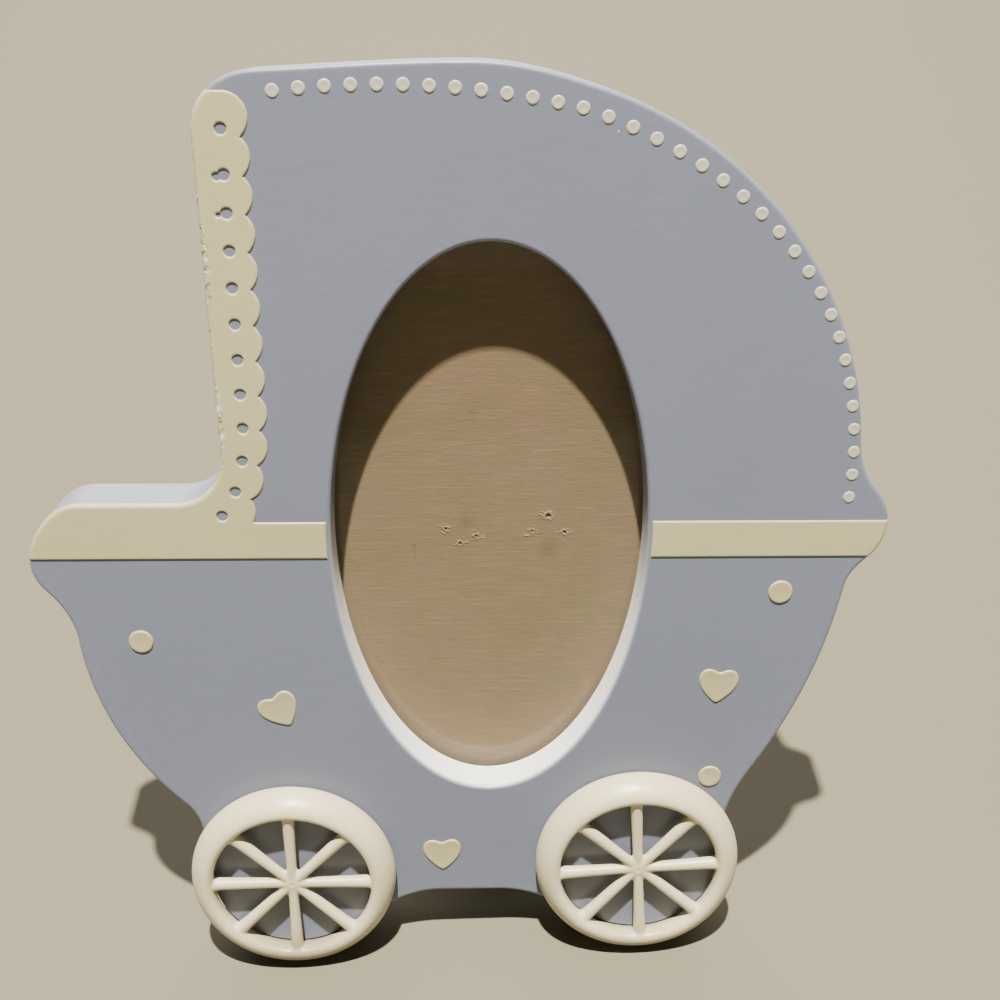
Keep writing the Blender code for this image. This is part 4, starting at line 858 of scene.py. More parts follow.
def collar_bend(index):
    """How far along the collar's bend a scallop lies, squared; none bend above it."""
    first_bent = SCALLOP_COUNT - 1 - BENT_SCALLOPS
    return max(0, index - first_bent) ** 2


def scallop_centres():
    """Centres of the collar's scallops from the top down, bending away at the ledge."""
    return [Vector((COLLAR_EDGE_X + SCALLOP_REACH - COLLAR_BEND * collar_bend(index),
                    SCALLOP_TOP_Z - index * SCALLOP_PITCH))
            for index in range(SCALLOP_COUNT)]


def cusp_between(lower, upper):
    """The inward corner where two neighbouring scallops meet."""
    across = (upper - lower) / 2.0
    outward = Vector((across.y, -across.x)).normalized()
    return lower + across + outward * math.sqrt(SCALLOP_RADIUS ** 2 - across.length_squared)


def divided(points, step):
    """A closed loop with its long straight sides cut into steps."""
    result = []
    for start, end in zip(points, points[1:] + points[:1]):
        start = Vector(start)
        end = Vector(end)
        count = max(1, math.ceil((end - start).length / step))
        result += [tuple(start.lerp(end, k / count)) for k in range(count)]
    return result


def collar_region():
    """The left band and the scalloped collar above it, as one anticlockwise loop."""
    beyond = HANDLE_TIP_X - MM
    points = [(beyond, BAND_BOTTOM_Z), (WINDOW_CENTRE.x, BAND_BOTTOM_Z),
              (WINDOW_CENTRE.x, BAND_TOP_Z)]
    centres = scallop_centres()
    cusps = [cusp_between(lower, upper) for upper, lower in zip(centres, centres[1:])]
    for index in reversed(range(SCALLOP_COUNT)):
        centre = centres[index]
        if index < SCALLOP_COUNT - 1:
            start = math.atan2(cusps[index].y - centre.y, cusps[index].x - centre.x)
        else:
            start = math.asin(max(-1.0, (BAND_TOP_Z - centre.y) / SCALLOP_RADIUS))
        end = SCALLOP_TOP_END
        if index > 0:
            end = math.atan2(cusps[index - 1].y - centre.y, cusps[index - 1].x - centre.x)
        steps = math.ceil((end - start) * SCALLOP_RADIUS / TRIM_STEP)
        for step in range(0 if index == SCALLOP_COUNT - 1 else 1, steps + 1):
            angle = start + (end - start) * step / steps
            points.append((centre.x + SCALLOP_RADIUS * math.cos(angle),
                           centre.y + SCALLOP_RADIUS * math.sin(angle)))
    points += [(COLLAR_EDGE_X - LEDGE_FILLET, points[-1][1]),
               (beyond, LEDGE_TOP_Z + LEDGE_FILLET)]
    return divided(points, FINE_STEP)


def band_region():
    """The band on the right of the window."""
    beyond = NOSE_TIP_X + MM
    start = WINDOW_CENTRE.x
    return divided([(start, BAND_BOTTOM_Z), (beyond, BAND_BOTTOM_Z), (beyond, BAND_TOP_Z),
                    (start, BAND_TOP_Z)], FINE_STEP)


def all_eyelets():
    """Centre and radius of the collar's holes, one to a scallop, and of the breaks beside them."""
    places = []
    for index in range(SCALLOP_COUNT):
        bend = collar_bend(index)
        lift = EYELET_LIFT * bend
        if index in (0, SCALLOP_COUNT - 1):
            lift += EYELET_END_LIFT
        places.append((COLLAR_EDGE_X + EYELET_REACH - EYELET_BEND * bend,
                       SCALLOP_TOP_Z - index * SCALLOP_PITCH - EYELET_DROP + lift))
    holes = [(place, EYELET_RADIUS) for place in places]
    for index, (shift_x, shift_z), radius in EYELET_BREAKS:
        holes.append(((places[index][0] + shift_x, places[index][1] + shift_z), radius))
    return holes


def heart(centre_x, centre_z, turn):
    """Points round a heart, turned anticlockwise from upright by the given angle."""
    points = []
    for t in turns(HEART_POINTS):
        x = ((1.0 - HEART_PINCH) * math.sin(t) - HEART_PINCH * math.sin(3.0 * t)) / 2.0
        z = sum(wave * math.cos((n + 1) * t) for n, wave in enumerate(HEART_WAVES))
        z /= HEART_WAVE_SCALE
        points.append((centre_x + HEART_WIDTH * (x * math.cos(turn) - z * math.sin(turn)),
                       centre_z + HEART_WIDTH * (x * math.sin(turn) + z * math.cos(turn))))
    return points


def hood_dot_inset(angle):
    """How far in from the hood's edge a dot lies, by its angle from the hood's top."""
    first, last = HOOD_DOT_INSET_TURNS
    share = min(1.0, max(0.0, (angle - first) / (last - first)))
    return HOOD_DOT_INSET_END + (HOOD_DOT_INSET - HOOD_DOT_INSET_END) * (
        1.0 + math.cos(math.pi * share)) / 2.0


def hood_dot_places():
    """Centres of the hood's small dots: along a flat arc first, then round the hood's edge."""
    crown_x = HOOD_CENTRE.x + HOOD_DOT_CROWN_SHIFT
    flat_centre_z = HOOD_TOP_Z - HOOD_DOT_CROWN_INSET - HOOD_DOT_CROWN_RADIUS
    angle = math.asin((COLLAR_EDGE_X + HOOD_DOT_START - crown_x) / HOOD_DOT_CROWN_RADIUS)
    places = []
    while not places or places[-1][0] < HOOD_CENTRE.x + HOOD_DOT_TURN_SHIFT:
        places.append((crown_x + HOOD_DOT_CROWN_RADIUS * math.sin(angle),
                       flat_centre_z + HOOD_DOT_CROWN_RADIUS * math.cos(angle)))
        angle += HOOD_DOT_PITCH / HOOD_DOT_CROWN_RADIUS
    last_x, last_z = places[-1]
    angle = math.atan2(last_x - HOOD_CENTRE.x, last_z - HOOD_CENTRE.y)
    while len(places) < HOOD_DOT_COUNT:
        angle += HOOD_DOT_TURN_PITCH / (HOOD_RADIUS - hood_dot_inset(angle))
        radius = HOOD_RADIUS - hood_dot_inset(angle)
        places.append((HOOD_CENTRE.x + radius * math.sin(angle),
                       HOOD_CENTRE.y + radius * math.cos(angle)))
    return places


def wheel_dot_place():
    """Centre of the large dot just clear of the right wheel."""
    distance = WHEEL_RADIUS + WHEEL_DOT_GAP + BIG_DOT_RADIUS
    return (RIGHT_WHEEL.x + distance * math.cos(WHEEL_DOT_TURN),
            RIGHT_WHEEL.y + distance * math.sin(WHEEL_DOT_TURN))


def all_dots():
    """Centre and radius of every raised dot."""
    small = [(place, HOOD_DOT_RADIUS) for place in hood_dot_places()]
    return small + [(place, BIG_DOT_RADIUS) for place in (*BIG_DOT_PLACES, wheel_dot_place())]


def distance_from(place, points):
    """Distance of each point from one place."""
    return np.hypot(*(points - tuple(place)).T)


def distance_to(points, loop):
    """Distance from each point to a closed loop."""
    start = np.array(loop)
    along = np.roll(start, -1, axis=0) - start
    length = np.maximum((along ** 2).sum(axis=1), TINY)
    nearest = np.empty(len(points))
    for first in range(0, len(points), BLOCK):
        block = points[first:first + BLOCK, None, :] - start[None, :, :]
        share = np.clip((block * along).sum(axis=2) / length, 0.0, 1.0)
        gap = block - share[:, :, None] * along
        nearest[first:first + BLOCK] = np.sqrt((gap ** 2).sum(axis=2).min(axis=1))
    return nearest


def inside(points, loop):
    """Whether each point lies inside a closed loop."""
    start = np.array(loop)
    end = np.roll(start, -1, axis=0)
    rise = end[:, 1] - start[:, 1]
    rise[rise == 0.0] = TINY
    found = np.empty(len(points), dtype=bool)
    for first in range(0, len(points), BLOCK):
        block = points[first:first + BLOCK]
        z = block[:, 1:2]
        spans = (start[:, 1] > z) != (end[:, 1] > z)
        cross = start[:, 0] + (z - start[:, 1]) / rise * (end[:, 0] - start[:, 0])
        found[first:first + BLOCK] = (spans & (block[:, 0:1] < cross)).sum(axis=1) % 2 == 1
    return found


def signed_distance(points, loop):
    """Distance from each point to a loop, negative outside it, and minus one far from it."""
    corners = np.array(loop)
    close = (points > corners.min(axis=0) - NEAR).all(axis=1)
    close &= (points < corners.max(axis=0) + NEAR).all(axis=1)
    distance = np.full(len(points), -1.0)
    side = np.where(inside(points[close], loop), 1.0, -1.0)
    distance[close] = side * distance_to(points[close], loop)
    return distance


def rounded(distance, radius):
    """How far back a rounded edge lies at a distance in from its side."""
    away = np.clip(radius - distance, 0.0, radius)
    return radius - np.sqrt(radius ** 2 - away ** 2)


def loop_lines(first, count):
    """Pairs of point numbers that close a loop."""
    return [(first + k, first + (k + 1) % count) for k in range(count)]


def triangulated(points, lines):
    """Points and triangles of a flat sheet whose edges follow the given lines."""
    flat, _, triangles, _, _, _ = delaunay_2d_cdt(
        [Vector(point) for point in points], lines, [], 0, WELD)
    return np.array([tuple(point) for point in flat]), triangles


class Front:
    """The slab's front face: where its lines run, how high it stands and what is cream."""

    def __init__(self, sizes):
        self.sizes = sizes
        self.outline = slab_outline()
        self.window = window_oval()
        self.trim_hole = moved_along_normals(self.window, -sizes.lip_rounding)
        self.regions = [collar_region(), band_region()]
        self.eyelets = all_eyelets()
        self.dots = all_dots()
        self.hearts = [heart(*place) for place in HEART_PLACES]
        self.points = []
        self.lines = []

    def rise(self, distance):
        """Share of the relief's full height at a distance in from its foot."""
        share = np.clip(distance / self.sizes.shoulder, 0.0, 1.0)
        return 1.0 - (1.0 - share) ** SHOULDER_POWER

    def relief(self, points):
        """How far the relief stands out at each point."""
        trim = np.max([signed_distance(points, region) for region in self.regions], axis=0)
        trim = np.minimum(trim, -signed_distance(points, self.trim_hole))
        for place, radius in self.eyelets:
            trim = np.minimum(trim, distance_from(place, points) - radius)
        height = RELIEF * self.rise(trim)
        for place, radius in self.dots:
            away = distance_from(place, points)
            dip = 1.0 - self.sizes.dot_dip * np.exp(-(away / (DOT_DIP_REACH * radius)) ** 2)
            stand = HOOD_DOT_STAND if radius == HOOD_DOT_RADIUS else 1.0
            height = np.maximum(height, stand * DOT_HEIGHT * self.rise(radius - away) * dip)
        for wheel in (LEFT_WHEEL, RIGHT_WHEEL):
            away = distance_from(wheel, points)
            height = np.maximum(height, BOSS_HEIGHT * self.rise(BOSS_RADIUS - away))
        for loop in self.hearts:
            depth = signed_distance(points, loop)
            sunk = np.clip((depth - HEART_DIP_START) / HEART_DIP_RUN, 0.0, 1.0)
            dip = 1.0 - self.sizes.heart_dip * sunk * sunk * (3.0 - 2.0 * sunk)
            height = np.maximum(height, RELIEF * self.rise(depth) * dip)
        return height

    def depth(self, points):
        """How far back the front face lies at each point."""
        edge = rounded(distance_to(points, self.outline), self.sizes.front_rounding)
        lip = rounded(distance_to(points, self.window), self.sizes.lip_rounding)
        return edge + lip - self.relief(points)

    def add_line(self, loop):
        """Add a closed line for the skin's edges to follow."""
        self.lines += loop_lines(len(self.points), len(loop))
        self.points += loop

    def shoulder_offsets(self):
        """Distances of a shoulder's lines from its foot, with a guard line on either side."""
        width = self.sizes.shoulder
        return [-GUARD] + [step * width for step in SHOULDER_STEPS] + [width + GUARD]

    def edge_offsets(self, radius):
        """Distances in from a rounded edge's side, with a guard line on the flat."""
        slopes = [UP * step / EDGE_STEPS for step in range(EDGE_STEPS + 1)]
        return [radius + GUARD] + [radius * (1.0 - math.sin(slope)) for slope in slopes]

    def draw(self):
        """Draw every line of the front face."""
        for offset in self.edge_offsets(self.sizes.front_rounding):
            self.add_line(moved_along_normals(self.outline, -offset))
        for offset in self.edge_offsets(self.sizes.lip_rounding):
            self.add_line(moved_along_normals(self.window, -offset))
        for offset in self.shoulder_offsets():
            for region in self.regions:
                self.add_line(moved_along_normals(region, offset))
            self.add_line(moved_along_normals(self.trim_hole, -offset))
            for place, radius in self.eyelets:
                self.add_line(circle(place, radius + offset, EYELET_POINTS))
            for loop in self.hearts:
                self.add_line(moved_along_normals(loop, -offset))
            for place, radius in self.dots:
                self.add_line(circle(place, radius - offset, DOT_POINTS))
        for wheel in (LEFT_WHEEL, RIGHT_WHEEL):
            for offset in self.shoulder_offsets():
                self.add_line(circle(wheel, BOSS_RADIUS - offset, BOSS_POINTS))
        for place, radius in self.dots:
            for share in DOT_LINES:
                self.add_line(circle(place, radius * share, DOT_CORE_POINTS))
            self.points.append(place)
        for loop in self.hearts:
            for offset in HEART_LINES:
                self.add_line(moved_along_normals(loop, -offset))

    def skin(self):
        """Triangles of the front face, as slab points, triangles and the coat on each."""
        self.draw()
        flat, triangles = triangulated(self.points, self.lines)
        middles = flat[np.array(triangles)].mean(axis=1)
        kept = inside(middles, self.outline) & ~inside(middles, self.window)
        coats = np.where(self.relief(middles) > COAT_START * RELIEF, TRIM_COAT, BODY_COAT)
        for wheel in (LEFT_WHEEL, RIGHT_WHEEL):
            coats[distance_from(wheel, middles) < BOSS_RADIUS] = BODY_COAT
        for place, radius in self.dots:
            if radius == HOOD_DOT_RADIUS:
                coats[distance_from(place, middles) < radius] = DOT_COAT
        depth = self.depth(flat)
        places = [(x, y, z) for (x, z), y in zip(flat, depth)]
        return places, [(triangle, coat) for triangle, coat, keep
                        in zip(triangles, coats, kept) if keep]


def add_ring(bm, points, y):
    """One loop of vertices at depth y."""
    return [bm.verts.new((x, y, z)) for x, z in points]


def bridge(bm, ring_a, ring_b):
    """Quads between two loops of equal count."""
    count = len(ring_a)
    return [bm.faces.new((ring_a[k], ring_a[(k + 1) % count], ring_b[(k + 1) % count], ring_b[k]))
            for k in range(count)]


def ring_edges(bm, ring):
    """The edges of a loop, made where they are missing."""
    return [bm.edges.get((vertex, after)) or bm.edges.new((vertex, after))
            for vertex, after in zip(ring, ring[1:] + ring[:1])]


def push_edges(bm, edges, y):
    """Extrude open edges straight back to depth y, and return the new edges and vertices."""
    made = bmesh.ops.extrude_edge_only(bm, edges=edges)["geom"]
    vertices = {item for item in made if isinstance(item, bmesh.types.BMVert)}
    for vertex in vertices:
        vertex.co.y = y
    for face in {face for vertex in vertices for face in vertex.link_faces}:
        face.normal_update()
        face.material_index = BODY_COAT
    return [item for item in made if isinstance(item, bmesh.types.BMEdge)
            and item.is_boundary and vertices.issuperset(item.verts)], vertices


def at_window(edge):
    """Whether an edge of the front's skin lies on the window's rim and not on the outline."""
    place = edge.verts[0].co
    return window_share(place.x, place.z) < WINDOW_REACH


def build_casting_mesh(sizes):
    """The slab as one closed skin: relief front, side walls, window, pocket and back."""
    front = Front(sizes)
    places, triangles = front.skin()
    bm = bmesh.new()
    used = sorted({index for triangle, _ in triangles for index in triangle})
    vertices = {index: bm.verts.new(places[index]) for index in used}
    for triangle, coat in triangles:
        face = bm.faces.new([vertices[index] for index in triangle])
        face.material_index = int(coat)
    open_edges = [edge for edge in bm.edges if edge.is_boundary]
    window_edges = [edge for edge in open_edges if at_window(edge)]
    outer_edges = [edge for edge in open_edges if not at_window(edge)]
    seat_edges, _ = push_edges(bm, window_edges, WINDOW_DEPTH)
    wall_edges, wall_vertices = push_edges(bm, outer_edges, SLAB_THICKNESS - REAR_CHAMFER)
    sides = {(vertex.co.x, vertex.co.z):
             sum((face.normal for face in vertex.link_faces), Vector()).normalized()
             for vertex in wall_vertices}
    back_edges, back_vertices = push_edges(bm, wall_edges, SLAB_THICKNESS)
    for vertex in back_vertices:
        normal = sides[(vertex.co.x, vertex.co.z)]
        vertex.co.x -= REAR_CHAMFER * normal.x
        vertex.co.z -= REAR_CHAMFER * normal.z
    pocket = rounded_rectangle(WINDOW_CENTRE, POCKET_WIDTH, POCKET_HEIGHT, POCKET_CORNER)
    seat_ring = add_ring(bm, pocket, WINDOW_DEPTH)
    back_ring = add_ring(bm, pocket, SLAB_THICKNESS)
    bridge(bm, seat_ring, back_ring)
    bmesh.ops.triangle_fill(bm, use_beauty=True, edges=seat_edges + ring_edges(bm, seat_ring))
    hole_edges = []
    for low, high in SCREW_BOXES:
        hole = circle(middle_of(low, high), SCREW_HOLE_RADIUS, SCREW_HOLE_POINTS)
        rim = add_ring(bm, hole, SLAB_THICKNESS)
        floor = add_ring(bm, hole, SCREW_HOLE_FLOOR)
        bridge(bm, rim, floor)
        bm.faces.new(floor)
        hole_edges += ring_edges(bm, rim)
    bmesh.ops.triangle_fill(bm, use_beauty=True,
                            edges=back_edges + ring_edges(bm, back_ring) + hole_edges)
    cut_level(bm)
    bmesh.ops.recalc_face_normals(bm, faces=bm.faces)
    return bm, front


def cut_level(bm):
    """Trim the slab's lower edge level, just clear of the floor."""
    floor = TO_SLAB @ Vector((0.0, 0.0, FLOOR_CLEARANCE))
    up = TO_SLAB.to_3x3() @ Vector((0.0, 0.0, 1.0))
    bmesh.ops.bisect_plane(bm, geom=bm.verts[:] + bm.edges[:] + bm.faces[:], plane_co=floor,
                           plane_no=up, clear_inner=True)
    bmesh.ops.holes_fill(bm, edges=[edge for edge in bm.edges if edge.is_boundary], sides=0)


def make_piece(name, source, materials, matrix=SLAB):
    """A named object from a bmesh or a mesh, set in place and smooth between its sharp edges."""
    mesh = source
    if isinstance(source, bmesh.types.BMesh):
        mesh = bpy.data.meshes.new(name)
        source.to_mesh(mesh)
        source.free()
    for material in materials:
        mesh.materials.append(material)
    mesh.transform(matrix)
    mesh.shade_smooth()
    mesh.set_sharp_from_angle(angle=SHARP_ANGLE)
    piece = bpy.data.objects.new(name, mesh)
    bpy.context.scene.collection.objects.link(piece)
    return piece


def slab_places(mesh):
    """The mesh's points in the slab's axes, one to a row."""
    return np.array([tuple(TO_SLAB @ vertex.co) for vertex in mesh.vertices])


def store(mesh, name, values):
    """Store a value at each point of a mesh, for its material."""
    mesh.attributes.new(name, "FLOAT", "POINT").data.foreach_set("value", values)


def mark_wear_and_highlight(mesh, front):
    """Store how rubbed the paint is, most at the collar, and a painted highlight, most on the
    window's lower wall.
    """
    places = slab_places(mesh)
    edge = distance_to(places[:, [0, 2]], front.outline)
    below = np.maximum(places[:, 1] - front.sizes.front_rounding, 0.0)
    wear = np.clip(1.0 - np.maximum(edge, below) / WEAR_REACH, 0.0, 1.0)
    at_collar = places[:, 0] < COLLAR_EDGE_X + COLLAR_MARGIN
    at_collar &= places[:, 2] > LEDGE_TOP_Z + COLLAR_MARGIN
    gripped = sum(np.exp(-((places[:, 2] - height) / reach) ** 2) for height, reach in GRIPS)
    strength = COLLAR_WEAR + GRIP_WEAR * np.minimum(gripped, 1.0)
    store(mesh, "wear", wear * np.where(at_collar, strength, EDGE_WEAR))
    # Painted highlight: lighter on the window's wall from a little above its middle down, and a
    # little on the slab's sides
    behind = np.clip(places[:, 1] / front.sizes.lip_rounding, 0.0, 1.0)
    on_wall = window_share(places[:, 0], places[:, 2]) < WINDOW_REACH
    drop = (WINDOW_CENTRE.y + WALL_HIGHLIGHT_RISE - places[:, 2]) / WALL_HIGHLIGHT_FADE
    white = WALL_HIGHLIGHT_SHARE * np.clip(drop, 0.0, 1.0)
    store(mesh, "painted_highlight", behind * np.where(on_wall, white, SIDE_HIGHLIGHT_SHARE))


class PRAM_OT_casting(bpy.types.Operator):
    """Build the painted casting with its collar, band, hearts and dots."""

    bl_idname = "pram.casting"
    bl_label = "Casting"

    def execute(self, context):
        sizes = context.scene.pram_sizes
        colours = context.scene.pram_colours
        bm, front = build_casting_mesh(sizes)
        coats = (("pale_blue_paint", colours.body), ("cream_paint", colours.trim),
                 ("white_dot_paint", colours.dots))
        paints = [paint_material(name, colour, colours, chips)
                  for (name, colour), chips in zip(coats, COAT_CHIPS)]
        piece = make_piece("painted_casting", bm, paints)
        mark_wear_and_highlight(piece.data, front)
        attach(piece, "frame")
        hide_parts("frame_body")
        return {"FINISHED"}


def rim_section():
    """Points round the rim's section as radius and depth: an egg with its back cut flat."""
    half_width = RIM_WIDTH / 2.0
    half_depth = RIM_ROUND_DEPTH / 2.0
    middle_radius = WHEEL_RADIUS - math.hypot(half_width, RIM_SKEW) - RIM_FLOOR_GAP
    middle_y = half_depth - TOUCH_GAP - RIM_DEPTH
    section = []
    for k in range(RIM_SECTION_POINTS):
        around = 2.0 * math.pi * (k + 0.5) / RIM_SECTION_POINTS
        radius = middle_radius + half_width * math.cos(around) + RIM_SKEW * math.sin(around)
        section.append((radius, min(-TOUCH_GAP, middle_y + half_depth * math.sin(around))))
    return section


def add_spoke(bm, angle):
    """A round tapered spoke that swells where it runs into the rim."""
    along = Vector((math.cos(angle), 0.0, math.sin(angle)))
    across = Vector((-math.sin(angle), 0.0, math.cos(angle)))
    rings = []
    for step in range(SPOKE_STEPS + 1):
        share = step / SPOKE_STEPS
        radius = SPOKE_RADIUS * (SPOKE_TAPER + (1.0 - SPOKE_TAPER) * share)
        radius += SPOKE_FLARE * math.exp((share - 1.0) * SPOKE_LENGTH / SPOKE_FLARE_REACH)
        centre = along * (SPOKE_LENGTH * share) + Vector((0.0, -TOUCH_GAP - SPOKE_HEIGHT, 0.0))
        rings.append([bm.verts.new(centre + radius * (across * math.cos(t)
                                                      + Vector((0.0, math.sin(t), 0.0))))
                      for t in turns(SPOKE_SIDES)])
    for ring_a, ring_b in zip(rings, rings[1:]):
        bridge(bm, ring_a, ring_b)
    bm.faces.new(rings[0])
    bm.faces.new(list(reversed(rings[-1])))


def melted(name, bm, grain, passes):
    """Overlapping closed forms melted into one skin, with eased joints."""
    mesh = bpy.data.meshes.new(name)
    bmesh.ops.recalc_face_normals(bm, faces=bm.faces)
    bm.to_mesh(mesh)
    bm.free()
    rough = bpy.data.objects.new(name + "_rough", mesh)
    bpy.context.scene.collection.objects.link(rough)
    melt = rough.modifiers.new("melt", "REMESH")
    melt.mode = "VOXEL"
    melt.voxel_size = grain
    ease = rough.modifiers.new("ease", "SMOOTH")
    ease.factor = 0.5
    ease.iterations = passes
    graph = bpy.context.evaluated_depsgraph_get()
    skin = bpy.data.meshes.new_from_object(rough.evaluated_get(graph))
    bpy.data.objects.remove(rough)
    return skin


def build_wheel(name, turn, sizes):
    """A fat egg-section rim with eight spokes that run together at the middle."""
    bm = bmesh.new()
    section = rim_section()
    loops = []
    for angle in turns(RIM_POINTS):
        loops.append([bm.verts.new((radius * math.cos(angle), y, radius * math.sin(angle)))
                      for radius, y in section])
    for loop, after in zip(loops, loops[1:] + loops[:1]):
        bridge(bm, loop, after)
    for angle in turns(SPOKE_COUNT):
        add_spoke(bm, turn + angle)
    hub = bmesh.ops.create_uvsphere(bm, u_segments=24, v_segments=12, radius=HUB_RADIUS)
    bmesh.ops.translate(bm, vec=(0.0, -TOUCH_GAP - SPOKE_HEIGHT, 0.0), verts=hub["verts"])
    mesh = melted(name, bm, sizes.wheel_grain, sizes.wheel_easing)
    for vertex in mesh.vertices:
        away = math.hypot(vertex.co.x, vertex.co.z)
        if vertex.co.y < -TOUCH_GAP - SPOKE_HEIGHT:
            vertex.co.y += HUB_DIP * math.exp(-(away / HUB_DIP_RADIUS) ** 2)
    return mesh


class PRAM_OT_wheels(bpy.types.Operator):
    """Build the two ivory wheels."""

    bl_idname = "pram.wheels"
    bl_label = "Wheels"

    def execute(self, context):
        paint = wheel_material(context.scene.pram_colours)
        for name, centre, turn in (("left_wheel", LEFT_WHEEL, LEFT_SPOKE_TURN),
                                   ("right_wheel", RIGHT_WHEEL, RIGHT_SPOKE_TURN)):
            mesh = build_wheel(name + "_casting", turn, context.scene.pram_sizes)
            place = SLAB @ Matrix.Translation((centre.x, 0.0, centre.y))
            piece = make_piece(name + "_casting", mesh, [paint], place)
            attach(piece, "frame")
            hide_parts(name)
        return {"FINISHED"}


def board_splinters(count):
    """Raised fibres round the prong pits: middle, turn, half length, half width and height."""
    dice = random.Random(SEED)
    fibres = []
    for x, z, radius in PRONG_PITS:
        for _ in range(count):
            away = dice.uniform(SPLINTER_START * radius, SPLINTER_REACH)
            around = dice.uniform(0.0, 2.0 * math.pi)
            fibres.append((x + away * math.cos(around),
                           z + SPLINTER_SQUEEZE * away * math.sin(around),
                           dice.uniform(-SPLINTER_TURN, SPLINTER_TURN),
                           dice.uniform(*SPLINTER_LENGTHS), dice.uniform(*SPLINTER_WIDTHS),
                           dice.uniform(*SPLINTER_HEIGHTS)))
    return fibres


def board_lift(points, count):
    """How far the board's front stands up at each point, in metres; pits are below zero."""
    lift = np.zeros(len(points))
    for x, z, turn, length, width, height in board_splinters(count):
        gap = points / MM - (x, z)
        along = gap[:, 0] * math.cos(turn) + gap[:, 1] * math.sin(turn)
        across = gap[:, 1] * math.cos(turn) - gap[:, 0] * math.sin(turn)
        ridge = height * MM * np.exp(-(along / length) ** 4 - (across / width) ** 2)
        lift = np.maximum(lift, ridge)
    for x, z, radius in PRONG_PITS:
        gap = points / MM - (x, z)
        uneven = 1.0 + PIT_UNEVENNESS * np.sin(PIT_LOBES * np.arctan2(*gap.T) + x)
        away = np.hypot(*gap.T) * uneven / radius
        lift += PIT_LIP * np.exp(-((away - PIT_LIP_PLACE) / PIT_LIP_WIDTH) ** 2)
        lift -= PIT_DEPTH * np.exp(-away ** 4)
    low, high = NICK_SPAN
    past = np.maximum(0.0, np.maximum(low - points[:, 1], points[:, 1] - high))
    away = np.hypot(points[:, 0] - NICK_X, past)
    return lift - NICK_DEPTH * np.exp(-(away / NICK_WIDTH) ** 2)


def build_board(sizes):
    """The hardboard sheet, with pits and raised fibres where the prongs pushed it up."""
    outline = rounded_rectangle(middle_of(BOARD_LOW, BOARD_HIGH), BOARD_HIGH.x - BOARD_LOW.x,
                                BOARD_HIGH.z - BOARD_LOW.z, BOARD_CORNER)
    fields = [(np.array(low) * MM, np.array(high) * MM, MARK_STEP) for low, high in MARK_FIELDS]
    fields.append((np.array((BOARD_LOW.x, BOARD_LOW.z)) + BOARD_MARGIN,
                   np.array((BOARD_HIGH.x, BOARD_HIGH.z)) - BOARD_MARGIN, BOARD_STEP))
    points = list(outline)
    for low, high, step in fields:
        points += [(x, z) for x in np.arange(low[0], high[0], step)
                   for z in np.arange(low[1], high[1], step)]
    places, triangles = triangulated(points, loop_lines(0, len(outline)))
    lift = board_lift(places, sizes.splinters)
    bm = bmesh.new()
    vertices = [bm.verts.new((x, BOARD_LOW.y - rise, z)) for (x, z), rise in zip(places, lift)]
    for triangle in triangles:
        bm.faces.new([vertices[index] for index in triangle])
    rim = [edge for edge in bm.edges if edge.is_boundary]
    back_edges, _ = push_edges(bm, rim, BOARD_HIGH.y)
    bmesh.ops.triangle_fill(bm, use_beauty=True, edges=back_edges)
    bmesh.ops.recalc_face_normals(bm, faces=bm.faces)
    return bm


def mark_board(mesh):
    """Store how far each point of the board stands up, in mm, and where it is smudged."""
    places = slab_places(mesh)
    lift = (BOARD_LOW.y - places[:, 1]) / MM
    lift[places[:, 1] > BOARD_HIGH.y - MM] = 0.0
    smudge = np.zeros(len(places))
    for x, z, radius in SMUDGES:
        away = distance_from((x, z), places[:, [0, 2]] / MM)
        smudge = np.maximum(smudge, np.exp(-(away / radius) ** 2))
    store(mesh, "lift", lift)
    store(mesh, "smudge", smudge)


def dress(node, material):
    """Give a CAD node its material."""
    mesh = frame["nodes"][node].data
    mesh.materials.clear()
    mesh.materials.append(material)


def ease_edges(node, width, segments, angle):
    """Round the edges of a CAD node that are sharper than an angle."""
    ease = frame["nodes"][node].modifiers.new("eased_edges", "BEVEL")
    ease.width = width
    ease.segments = segments
    ease.angle_limit = angle


class PRAM_OT_sheets(bpy.types.Operator):
    """Dress the pane, the backboard and its velour."""

    bl_idname = "pram.sheets"
    bl_label = "Pane, board and velour"

    def execute(self, context):
        colours = context.scene.pram_colours
        velour = velour_material(colours)
        dress("clear_pane", pane_material())
        board = make_piece("hardboard_sheet", build_board(context.scene.pram_sizes),
                           [board_material(colours)])
        mark_board(board.data)
        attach(board, "frame")
        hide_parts("backboard")
        dress("velour_backing", velour)
        dress("easel_strut", velour)
        ease_edges("easel_strut", width=0.4 * MM, segments=3, angle=math.radians(30.0))
        return {"FINISHED"}


class PRAM_OT_metal(bpy.types.Operator):
    """Dress the hinge, its rivets, the turn buttons and their screws."""

    bl_idname = "pram.metal"
    bl_label = "Hinge, rivets and turn buttons"

    def execute(self, context):
        colours = context.scene.pram_colours
        steel = metal_material("plated_steel", colours.steel, roughness=0.22)
        brass = metal_material("brassed_steel", colours.brass, roughness=0.2)
        for node in frame["nodes"]:
            if "button" in node:
                dress(node, brass)
            elif node.startswith("hinge") or "rivet" in node:
                dress(node, steel)
            else:
                continue
            ease_edges(node, width=0.12 * MM, segments=2, angle=math.radians(40.0))
        return {"FINISHED"}


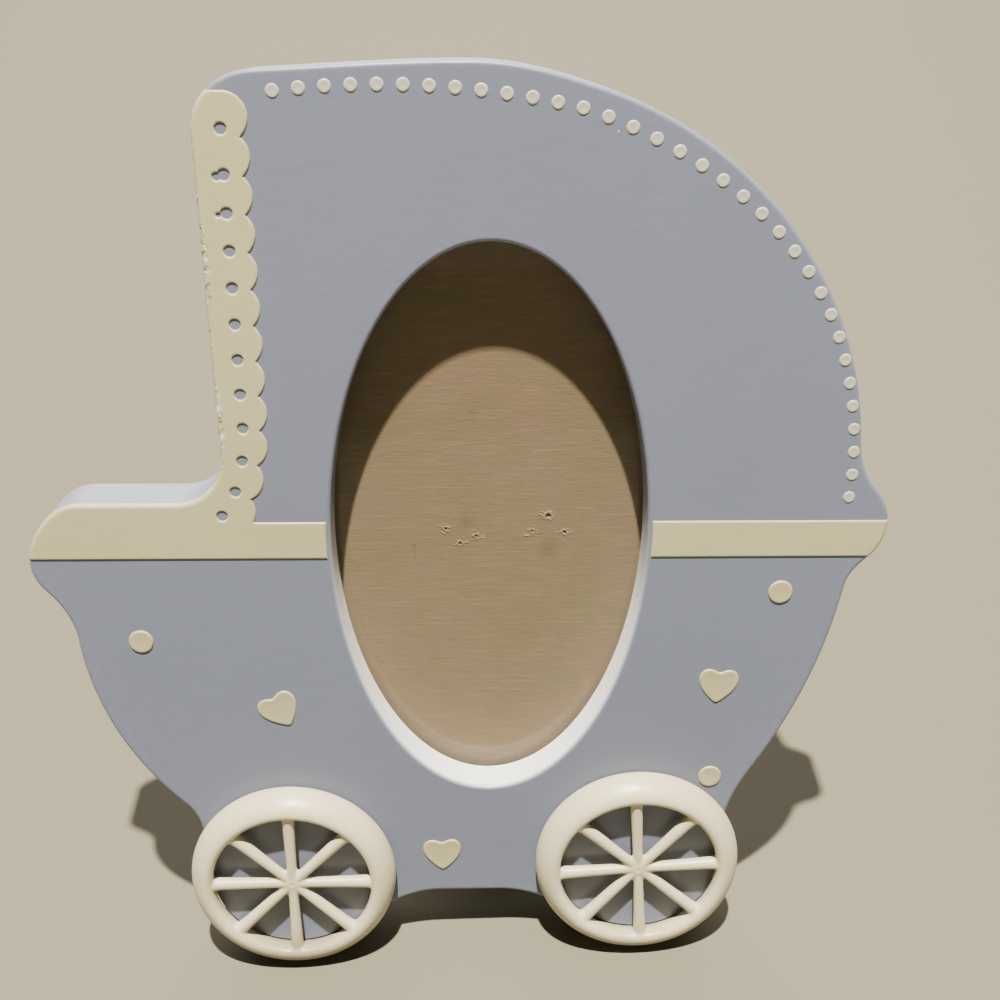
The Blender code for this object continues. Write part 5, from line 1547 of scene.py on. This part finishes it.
class PRAM_OT_stage(bpy.types.Operator):
    """Lay the floor, hang the lights and set the camera."""

    bl_idname = "pram.stage"
    bl_label = "Stage"

    def execute(self, context):
        scene = context.scene
        bm = bmesh.new()
        bmesh.ops.create_grid(bm, x_segments=4, y_segments=4, size=FLOOR_REACH)
        recipe = Recipe("studio_floor")
        cloud = recipe.noise(FLOOR_CLOUD, detail=2.0)
        colour = scene.pram_colours.floor
        shade = recipe.mix(cloud, opaque(colour, 0.98), opaque(colour, 1.02))
        floor = make_piece("studio_floor", bm, [recipe.finish(shade, 0.8)],
                           matrix=Matrix.Identity(4))
        for light in LIGHTS:
            self.add_light(*light)
        world = bpy.data.worlds.new("studio")
        world.use_nodes = True
        sky = world.node_tree.nodes["Background"]
        sky.inputs["Color"].default_value = SKY_COLOUR
        sky.inputs["Strength"].default_value = SKY_STRENGTH
        scene.world = world
        camera = bpy.data.cameras.new("camera")
        camera.lens = CAMERA_LENS
        eye = bpy.data.objects.new("camera", camera)
        eye.matrix_world = (SLAB @ Matrix.Translation(CAMERA_PLACE)
                            @ Euler(CAMERA_TURN).to_matrix().to_4x4())
        scene.collection.objects.link(eye)
        scene.camera = eye
        return {"FINISHED"}

    @staticmethod
    def add_light(name, place, size, power, colour):
        """A square area light that looks at the frame's middle."""
        light = bpy.data.lights.new(name, "AREA")
        light.size = size
        light.energy = power
        light.color = colour
        lamp = bpy.data.objects.new(name, light)
        lamp.location = place
        aim = LIGHT_AIM - Vector(place)
        lamp.rotation_euler = aim.to_track_quat("-Z", "Y").to_euler()
        bpy.context.scene.collection.objects.link(lamp)


class PRAM_PT_panel(bpy.types.Panel):
    """Sizes, colours and pieces of the photo frame."""

    bl_label = "Pram Photo Frame"
    bl_idname = "PRAM_PT_panel"
    bl_space_type = "VIEW_3D"
    bl_region_type = "UI"
    bl_category = "Pram Frame"

    def draw(self, context):
        for group in (context.scene.pram_sizes, context.scene.pram_colours):
            box = self.layout.box()
            for name in group.bl_rna.properties.keys():
                if name not in ("rna_type", "name"):
                    box.prop(group, name)
        for operator in OPERATORS:
            self.layout.operator(operator.bl_idname)


OPERATORS = (PRAM_OT_stage, PRAM_OT_casting, PRAM_OT_wheels, PRAM_OT_sheets, PRAM_OT_metal)
CLASSES = (FrameSizes, FrameColours, *OPERATORS, PRAM_PT_panel)


def register():
    """Register the classes and hang the sizes and colours on the scene."""
    for item in CLASSES:
        bpy.utils.register_class(item)
    bpy.types.Scene.pram_sizes = PointerProperty(type=FrameSizes)
    bpy.types.Scene.pram_colours = PointerProperty(type=FrameColours)


def unregister():
    """Take back what register added."""
    del bpy.types.Scene.pram_colours
    del bpy.types.Scene.pram_sizes
    for item in reversed(CLASSES):
        bpy.utils.unregister_class(item)


def main():
    """Build every piece in order."""
    register()
    bpy.ops.pram.stage()
    bpy.ops.pram.casting()
    bpy.ops.pram.wheels()
    bpy.ops.pram.sheets()
    bpy.ops.pram.metal()


if __name__ == "__main__":
    main()
